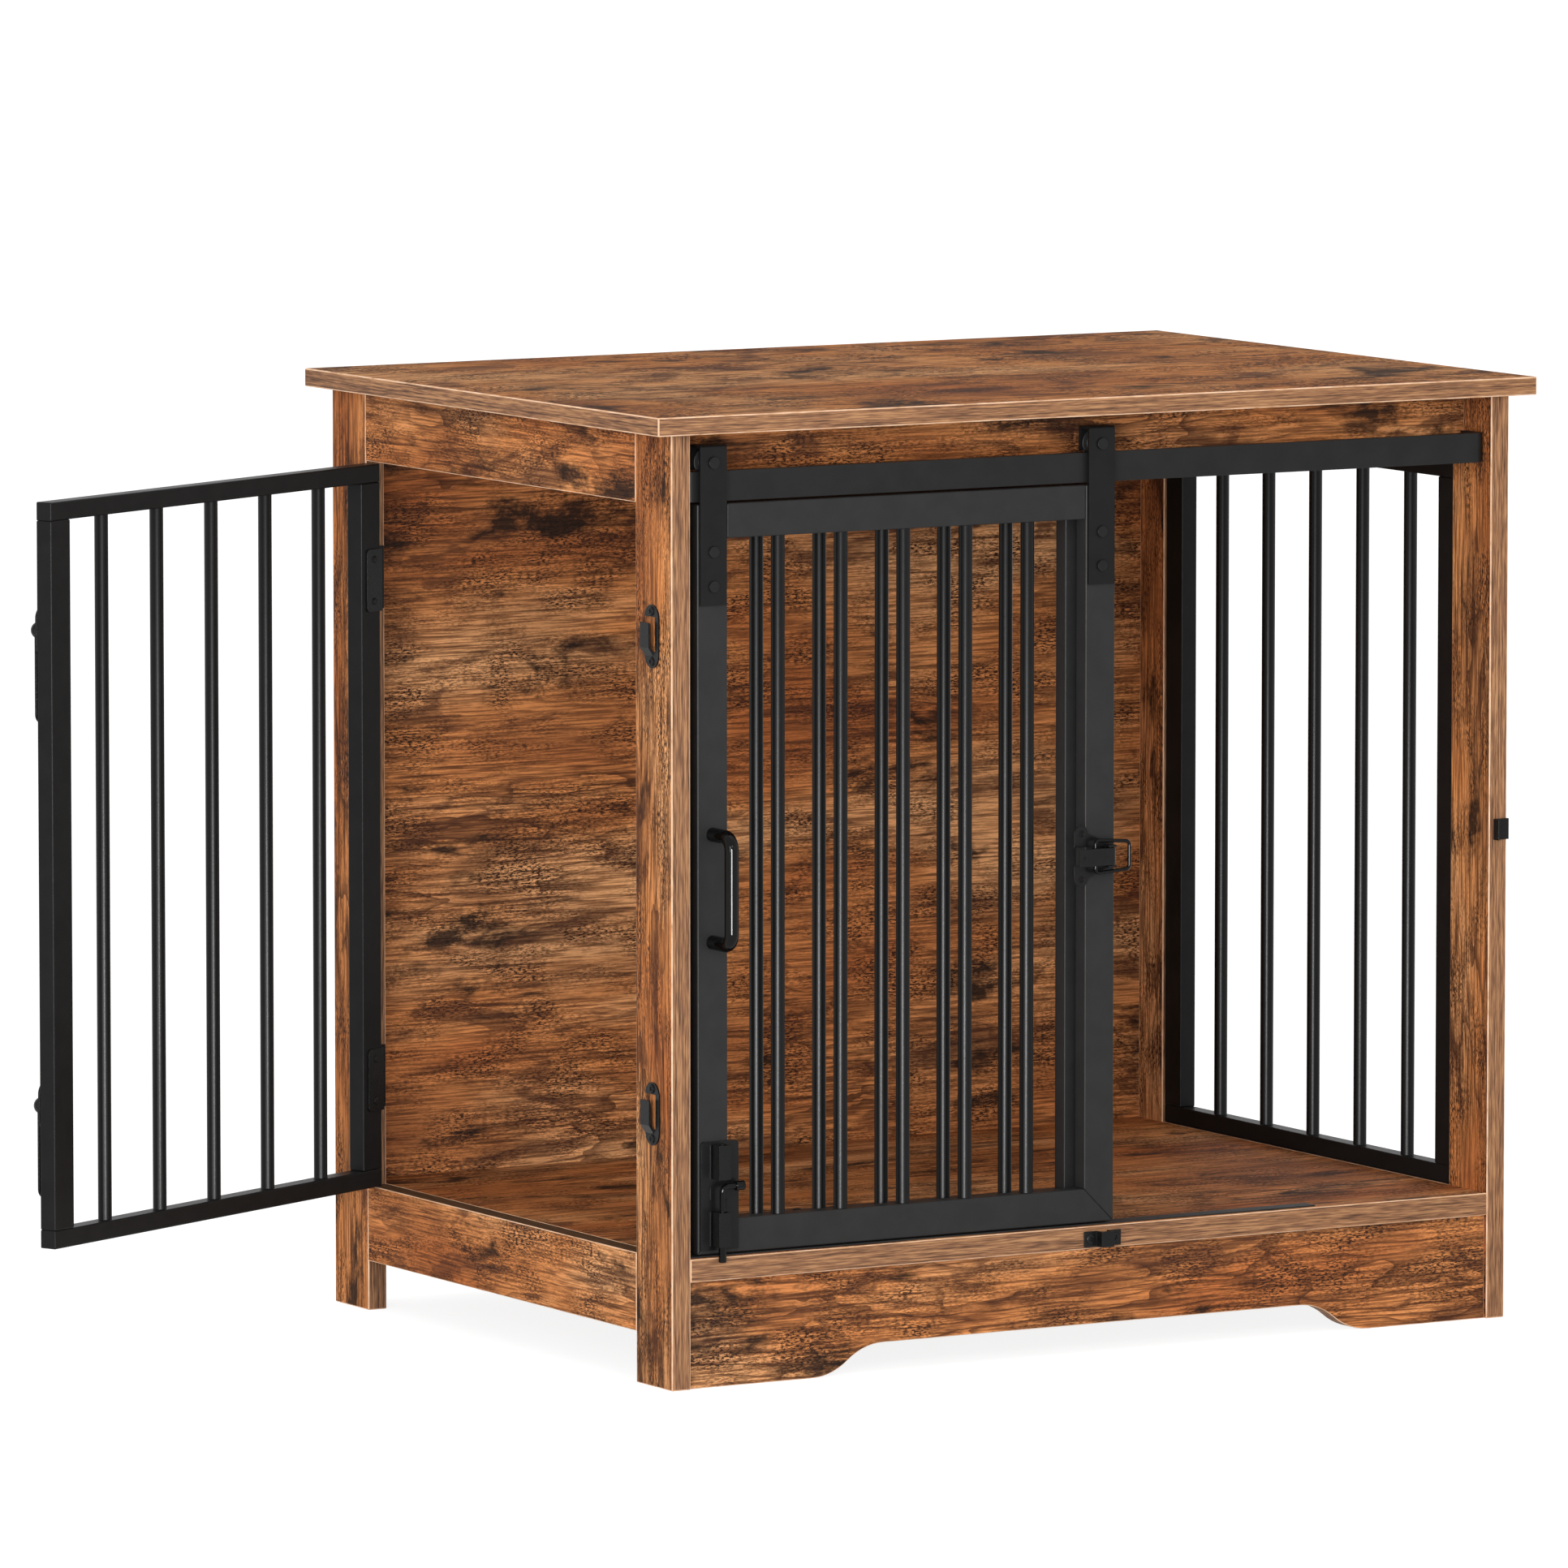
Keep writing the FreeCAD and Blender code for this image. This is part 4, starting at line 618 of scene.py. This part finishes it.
# Hardware: CAD shapes with their edges eased: node, body, slot, finish, easing in mm
HARDWARE = (
    ("track_bar", "base", "black_steel", SHADED_TRACK_COAT, 0.5),
    # the floor strip: a black sheet laid as painted shadow along the sill
    ("floor_strip", "base", "black_strip", SHADOW_STRIP_BLACK, 0.3),
    ("bolt_keeper", "base", "black_steel", STAMPED, 0.25),
    ("toggle_catch", "base", "black_steel", STAMPED, 0.25),
    ("latch_hook_upper", "base", "black_steel", STAMPED, 0.2),
    ("latch_hook_lower", "base", "black_steel", STAMPED, 0.2),
    ("hinge_post_leaves", "base", "black_steel", STAMPED, 0.15),
    ("hinge_pins", "base", "black_fastener", BLACKENED, 0.2),
    ("hanger_left", "sliding_door", "black_steel", SHADED_COAT, 0.3),
    ("hanger_right", "sliding_door", "black_steel", SHADED_COAT, 0.3),
    ("pull_handle", "sliding_door", "gloss_black_steel", ENAMEL, 0.3),
    ("bolt_plate", "sliding_door", "black_steel", STAMPED, 0.3),
    ("bolt_housings", "sliding_door", "black_steel", STAMPED, 0.6),
    ("toggle_base", "sliding_door", "black_steel", STAMPED, 0.2),
    ("toggle_pin", "sliding_door", "black_fastener", BLACKENED, 0.2),
    ("roller_axles", "sliding_door", "black_fastener", BLACKENED, 0.3),
    ("hinge_door_leaves", "side_door", "black_steel", STAMPED, 0.2),
    ("latch_plates", "side_door", "black_steel", STAMPED, 0.3),
    ("latch_studs", "side_door", "black_steel", STAMPED, 0.2),
    ("roller_left", "roller_left", "black_nylon", NYLON, 0.3),
    ("roller_right", "roller_right", "black_nylon", NYLON, 0.3),
    ("bolt_rod", "barrel_bolt", "black_steel", ENAMEL, 0.4),
    ("toggle_lever", "toggle_lever", "black_steel", STAMPED, 0.3),
    ("toggle_bail", "toggle_bail", "gloss_black_steel", ENAMEL, 0.2),
    ("latch_lever_upper", "latch_lever_upper", "black_steel", STAMPED, 0.3),
    ("latch_lever_lower", "latch_lever_lower", "black_steel", STAMPED, 0.3),
)
HARDWARE_SPLIT = 40      # hardware edges above this angle in degrees stay crisp


def round_leaf_corners(shape):
    """Rounds the two free corners of each hinge leaf on the side door."""
    bmesh.ops.transform(shape, matrix=SIDE_SWING.inverted(), verts=shape.verts)
    free_end = min(v.co.y for v in shape.verts)
    close = 0.01 * MM
    corners = [e for e in shape.edges if all(abs(v.co.y - free_end) < close for v in e.verts)
               and abs(e.verts[0].co.z - e.verts[1].co.z) < close]
    soften(shape, corners, LEAF_CORNER, 4)
    bmesh.ops.transform(shape, matrix=SIDE_SWING, verts=shape.verts)


for node, body, slot, finish, easing in HARDWARE:
    shape = cad_copy(node)
    if node == "hinge_door_leaves":
        round_leaf_corners(shape)
    soften(shape, sharp_edges(shape), easing * MM, 2)
    for face in shape.faces:
        face.smooth = True
    piece = add_piece(node + "_eased", shape, [finish], body, (node,))
    piece.data.set_sharp_from_angle(angle=math.radians(HARDWARE_SPLIT))
    even_shading(piece)

# Headed fasteners, by Geometry Nodes: head height and shank radius in mm, the flat share of the head's
# crown, and whether there is a cross recess
WOOD_SCREW = (1.2, 1.6, 0.5, True)
HINGE_SCREW = (0.8, 1.2, 0.8, True)
HANGER_BOLT = (1.6, 2.0, 0.92, False)
LEAF_RIVET = (0.8, 1.5, 0.55, False)
FASTENER_SIDES = 24      # facets round a head
HEAD_WIDER = 0.3 * MM    # an end wider than the other by this is the head
STOP_SEED = 11           # picks the angle at which each screw was left


def fastener_tree():
    """Screws, bolts and rivets: a turned head and shank at each point, the head facing its own way."""
    tree, given, end = new_tree("headed_fasteners", (
        ("Head radius", "NodeSocketFloat"), ("Head height", "NodeSocketFloat"),
        ("Shank radius", "NodeSocketFloat"), ("Shank length", "NodeSocketFloat"),
        ("Crown", "NodeSocketFloat"), ("Recess", "NodeSocketBool"), ("Finish", "NodeSocketMaterial")))
    head, tall = given["Head radius"], given["Head height"]
    shank, deep = given["Shank radius"], given["Shank length"]
    # heights, radii and slot sizes as shares of the given sizes
    size = {}
    for part, whole, share in (
            ("tip", deep, -1), ("taper", deep, -0.82), ("point", shank, 0.25),
            ("rim", tall, 0.45), ("slope", tall, 0.85), ("crown", head, given["Crown"]),
            ("shoulder", head, 0.65), ("slot_wide", head, 0.26), ("slot_long", head, 1.15),
            ("slot_deep", tall, 1.2)):
        size[part] = put(tree, "ShaderNodeMath", {"operation": "MULTIPLY"}, {0: whole, 1: share}).outputs[0]
    shoulder = put(tree, "ShaderNodeMath", {"operation": "MULTIPLY_ADD"}, {
        0: size["crown"], 1: 0.35, 2: size["shoulder"]}).outputs[0]
    body = turned_shape(tree, (size["tip"], size["taper"], 0.0, 0.0, size["rim"], size["slope"], tall),
                        (size["point"], shank, shank, head, head, shoulder, size["crown"]), FASTENER_SIDES)
    # the cross recess is cut one slot after the other
    driven = body
    for long_axis in "XY":
        sizes = {"X": size["slot_wide"], "Y": size["slot_wide"], "Z": size["slot_deep"]}
        sizes[long_axis] = size["slot_long"]
        extent = put(tree, "ShaderNodeCombineXYZ", feeds=sizes)
        blade = put(tree, "GeometryNodeMeshCube", feeds={"Size": extent.outputs[0]})
        lift = put(tree, "ShaderNodeCombineXYZ", feeds={"Z": tall})
        lifted = put(tree, "GeometryNodeTransform", feeds={
            "Geometry": blade.outputs[0], "Translation": lift.outputs[0]})
        driven = put(tree, "GeometryNodeMeshBoolean", {"operation": "DIFFERENCE", "solver": "EXACT"}, {
            0: driven, "Mesh 2": lifted.outputs[0]}).outputs[0]
    chosen = put(tree, "GeometryNodeSwitch", {"input_type": "GEOMETRY"}, {
        "Switch": given["Recess"], "False": body, "True": driven})
    facing = put(tree, "GeometryNodeInputNamedAttribute", {"data_type": "FLOAT_VECTOR"}, {"Name": "facing"})
    aimed = put(tree, "FunctionNodeAlignRotationToVector", {"axis": "Z"}, {"Vector": facing.outputs[0]})
    stop_angle = put(tree, "FunctionNodeRandomValue", {"data_type": "FLOAT"}, {
        "Min": 0.0, "Max": 3.0, "Seed": STOP_SEED})
    spun = put(tree, "FunctionNodeAxisAngleToRotation", feeds={
        "Axis": (0.0, 0.0, 1.0), "Angle": stop_angle.outputs["Value"]})
    turned = put(tree, "FunctionNodeRotateRotation", {"rotation_space": "LOCAL"}, {
        "Rotation": aimed.outputs[0], "Rotate By": spun.outputs[0]})
    placed = put(tree, "GeometryNodeInstanceOnPoints", feeds={
        "Points": given["Geometry"], "Instance": chosen.outputs[0], "Rotation": turned.outputs[0]})
    real = put(tree, "GeometryNodeRealizeInstances", feeds={"Geometry": placed.outputs[0]})
    blacked = put(tree, "GeometryNodeSetMaterial", feeds={
        "Geometry": real.outputs[0], "Material": given["Finish"]})
    wire(tree, end, {0: blacked.outputs[0]})
    return tree


FASTENERS = fastener_tree()


def fasteners(spots, sizes, crown, recess):
    """Headed fasteners: spots are (point under the head, direction the head faces), sizes are in mm."""
    mesh = bpy.data.meshes.new("spots")
    mesh.from_pydata([spot for spot, _ in spots], [], [])
    facing = mesh.attributes.new("facing", "FLOAT_VECTOR", "POINT")
    for k, (_, way) in enumerate(spots):
        facing.data[k].vector = way
    head, tall, shank, deep = (size * MM for size in sizes)
    return grown(FASTENERS, mesh, {
        "Head radius": head, "Head height": tall, "Shank radius": shank, "Shank length": deep,
        "Crown": crown, "Recess": recess, "Finish": BLACKENED})


def loose_solids(node, turn):
    """The separate solids of a CAD node, turned, each as a list of its points."""
    shape = cad_copy(node)
    bmesh.ops.transform(shape, matrix=turn, verts=shape.verts)
    solids, waiting = [], set(shape.verts)
    while waiting:
        solid, queue = [], [waiting.pop()]
        while queue:
            here = queue.pop()
            solid.append(here.co.copy())
            near = {edge.other_vert(here) for edge in here.link_edges} & waiting
            waiting -= near
            queue += near
        solids.append(solid)
    shape.free()
    return solids


def fitted_fasteners(node, tall, shank, crown, recess, turn=Matrix(), axis=None):
    """Fasteners in the places of a node's plain solids: each one's line is its longest side, unless an axis
    is given, and its head is at the wider end, or at the lower one where both are alike."""
    kinds = {}
    for points in loose_solids(node, turn):
        low, high = (Vector(pick(p[k] for p in points) for k in range(3)) for pick in (min, max))
        reach = high - low
        line = max(range(3), key=lambda k: reach[k]) if axis is None else axis
        middle = (low + high) / 2
        ends = []
        for end in (low[line], high[line]):
            here = middle.copy()
            here[line] = end
            ends.append((max((p - here).length for p in points if abs(p[line] - end) < tall * MM), here))
        way = Vector((0, 0, 0))
        way[line] = 1 if ends[1][0] > ends[0][0] + HEAD_WIDER else -1
        tip = ends[1][1] if way[line] > 0 else ends[0][1]
        head = min(reach[k] for k in range(3) if k != line) / 2 / MM
        kind = (round(head, 2), tall, shank, round(reach[line] / MM - tall, 2))
        kinds.setdefault(kind, []).append((tip - way * tall * MM, way))
    return [fasteners(sorted(spots, key=str), sizes, crown, recess)
            for sizes, spots in sorted(kinds.items())]


smooth_piece("board_screws",
             fitted_fasteners("wood_screws", *WOOD_SCREW) + fitted_fasteners("hinge_screws", *HINGE_SCREW),
             BLACKENED, "base", ("wood_screws", "hinge_screws"), split=30)
smooth_piece("hanger_bolt_set", fitted_fasteners("hanger_bolts", *HANGER_BOLT),
             BLACKENED, "sliding_door", ("hanger_bolts",), split=20)
smooth_piece("door_leaf_rivets",
             fitted_fasteners("hinge_rivets", *LEAF_RIVET, turn=SIDE_SWING.inverted(), axis=0),
             BLACKENED, "side_door", ("hinge_rivets",), split=30, turn=SIDE_SWING)

# Stage: pale floor, white surround, soft light
FLOOR_REACH = 30.0       # half the floor's width, in metres
FLOOR_GREY = 0.8         # the floor's own colour, by which it throws light back at the crate
FLOOR_GLOW = 0.87        # what the eye sees of it even in shadow
FLOOR_SHADE = 0.28       # and what a shadow can take away
SURROUND_LIGHT = 0.9     # the surround's light on the crate
SURROUND_WHITE = 1.0     # and what the eye sees of it


def seen_rays(tree):
    """1 where the eye, a reflection or a see-through thing looks, 0 for light that falls on the crate."""
    path = put(tree, "ShaderNodeLightPath").outputs
    seen = path["Is Camera Ray"]
    for ray in ("Is Glossy Ray", "Is Transmission Ray"):
        seen = put(tree, "ShaderNodeMath", {"operation": "MAXIMUM"}, {0: seen, 1: path[ray]}).outputs[0]
    return seen


def white_paper_floor():
    """White paper sweep: plain to the light, and white to the eye and to reflections."""
    material = bpy.data.materials.new("white_paper_floor")
    material.use_nodes = True
    tree = material.node_tree
    tree.nodes.clear()
    paper = put(tree, "ShaderNodeBsdfDiffuse", feeds={"Color": (FLOOR_GREY, FLOOR_GREY, FLOOR_GREY, 1)})
    shade = put(tree, "ShaderNodeBsdfDiffuse", feeds={"Color": (FLOOR_SHADE, FLOOR_SHADE, FLOOR_SHADE, 1)})
    glow = put(tree, "ShaderNodeEmission", feeds={"Color": (1, 1, 1, 1), "Strength": FLOOR_GLOW})
    lit = put(tree, "ShaderNodeAddShader", feeds={0: shade.outputs[0], 1: glow.outputs[0]})
    mixed = put(tree, "ShaderNodeMixShader", feeds={
        0: seen_rays(tree), 1: paper.outputs[0], 2: lit.outputs[0]})
    put(tree, "ShaderNodeOutputMaterial", feeds={"Surface": mixed.outputs[0]})
    return material


shape = bmesh.new()
bmesh.ops.create_grid(shape, x_segments=1, y_segments=1, size=FLOOR_REACH)
floor_mesh = bpy.data.meshes.new("studio_floor")
shape.to_mesh(floor_mesh)
shape.free()
floor_mesh.materials.append(white_paper_floor())
studio_floor = bpy.data.objects.new("studio_floor", floor_mesh)
bpy.context.scene.collection.objects.link(studio_floor)

world = bpy.data.worlds.new("studio_surround")
world.use_nodes = True
sky = world.node_tree
sky.nodes.clear()
level = put(sky, "ShaderNodeMapRange", feeds={
    "Value": seen_rays(sky), "From Min": 0.0, "From Max": 1.0,
    "To Min": SURROUND_LIGHT, "To Max": SURROUND_WHITE})
surround = put(sky, "ShaderNodeBackground", feeds={"Color": (1, 1, 1, 1), "Strength": level.outputs[0]})
put(sky, "ShaderNodeOutputWorld", feeds={"Surface": surround.outputs[0]})
bpy.context.scene.world = world

# Soft boxes: name, place, aim, width and height in metres, watts, and whether it lights colours too. The
# card only shows in gloss, as the bright line down each round bar.
SOFT_BOXES = (
    ("left_soft_box", (-3.0, -2.7, 0.88), (0.0, 0.1, 0.35), 1.7, 1.7, 57, True),
    ("front_soft_box", (0.9, -3.6, 1.2), (0.0, 0.0, 0.32), 1.6, 1.6, 5, True),
    ("top_soft_box", (0.3, -0.6, 3.6), (0.0, 0.0, 0.5), 2.0, 2.0, 6, True),
    ("small_soft_box", (-1.3, -3.9, 2.1), (0.0, -0.2, 0.35), 0.35, 0.35, 12, True),
    ("bar_gloss_card", (-1.15, -1.8, 0.30), (0.0, -0.1, 0.30), 0.45, 0.7, 66, False),
)
for name, spot, aim, wide, tall, watts, lights_colours in SOFT_BOXES:
    lamp = bpy.data.lights.new(name, "AREA")
    lamp.shape = "RECTANGLE"
    lamp.size = wide
    lamp.size_y = tall
    lamp.energy = watts
    soft_box = bpy.data.objects.new(name, lamp)
    soft_box.location = spot
    soft_box.rotation_euler = (Vector(aim) - Vector(spot)).to_track_quat("-Z", "Y").to_euler()
    soft_box.visible_camera = False
    soft_box.visible_diffuse = lights_colours
    bpy.context.scene.collection.objects.link(soft_box)

# Camera, fitted to the picture's straight edges
CAMERA_SPOT = (-4.85284, -8.11643, 1.41813)
CAMERA_DIP = 6.2603      # degrees it looks down
CAMERA_TURN = -30.2933   # degrees it is turned from straight ahead
FILM_WIDTH = 36          # mm
LENS_LENGTH = 304.31     # mm
lens = bpy.data.cameras.new("picture_camera")
lens.sensor_width = FILM_WIDTH
lens.lens = LENS_LENGTH
lens.clip_start = 0.1
lens.clip_end = 60
camera = bpy.data.objects.new("picture_camera", lens)
camera.location = CAMERA_SPOT
camera.rotation_euler = (math.radians(90 - CAMERA_DIP), 0, math.radians(CAMERA_TURN))
bpy.context.scene.collection.objects.link(camera)
bpy.context.scene.camera = camera
bpy.context.scene.view_settings.view_transform = "Standard"
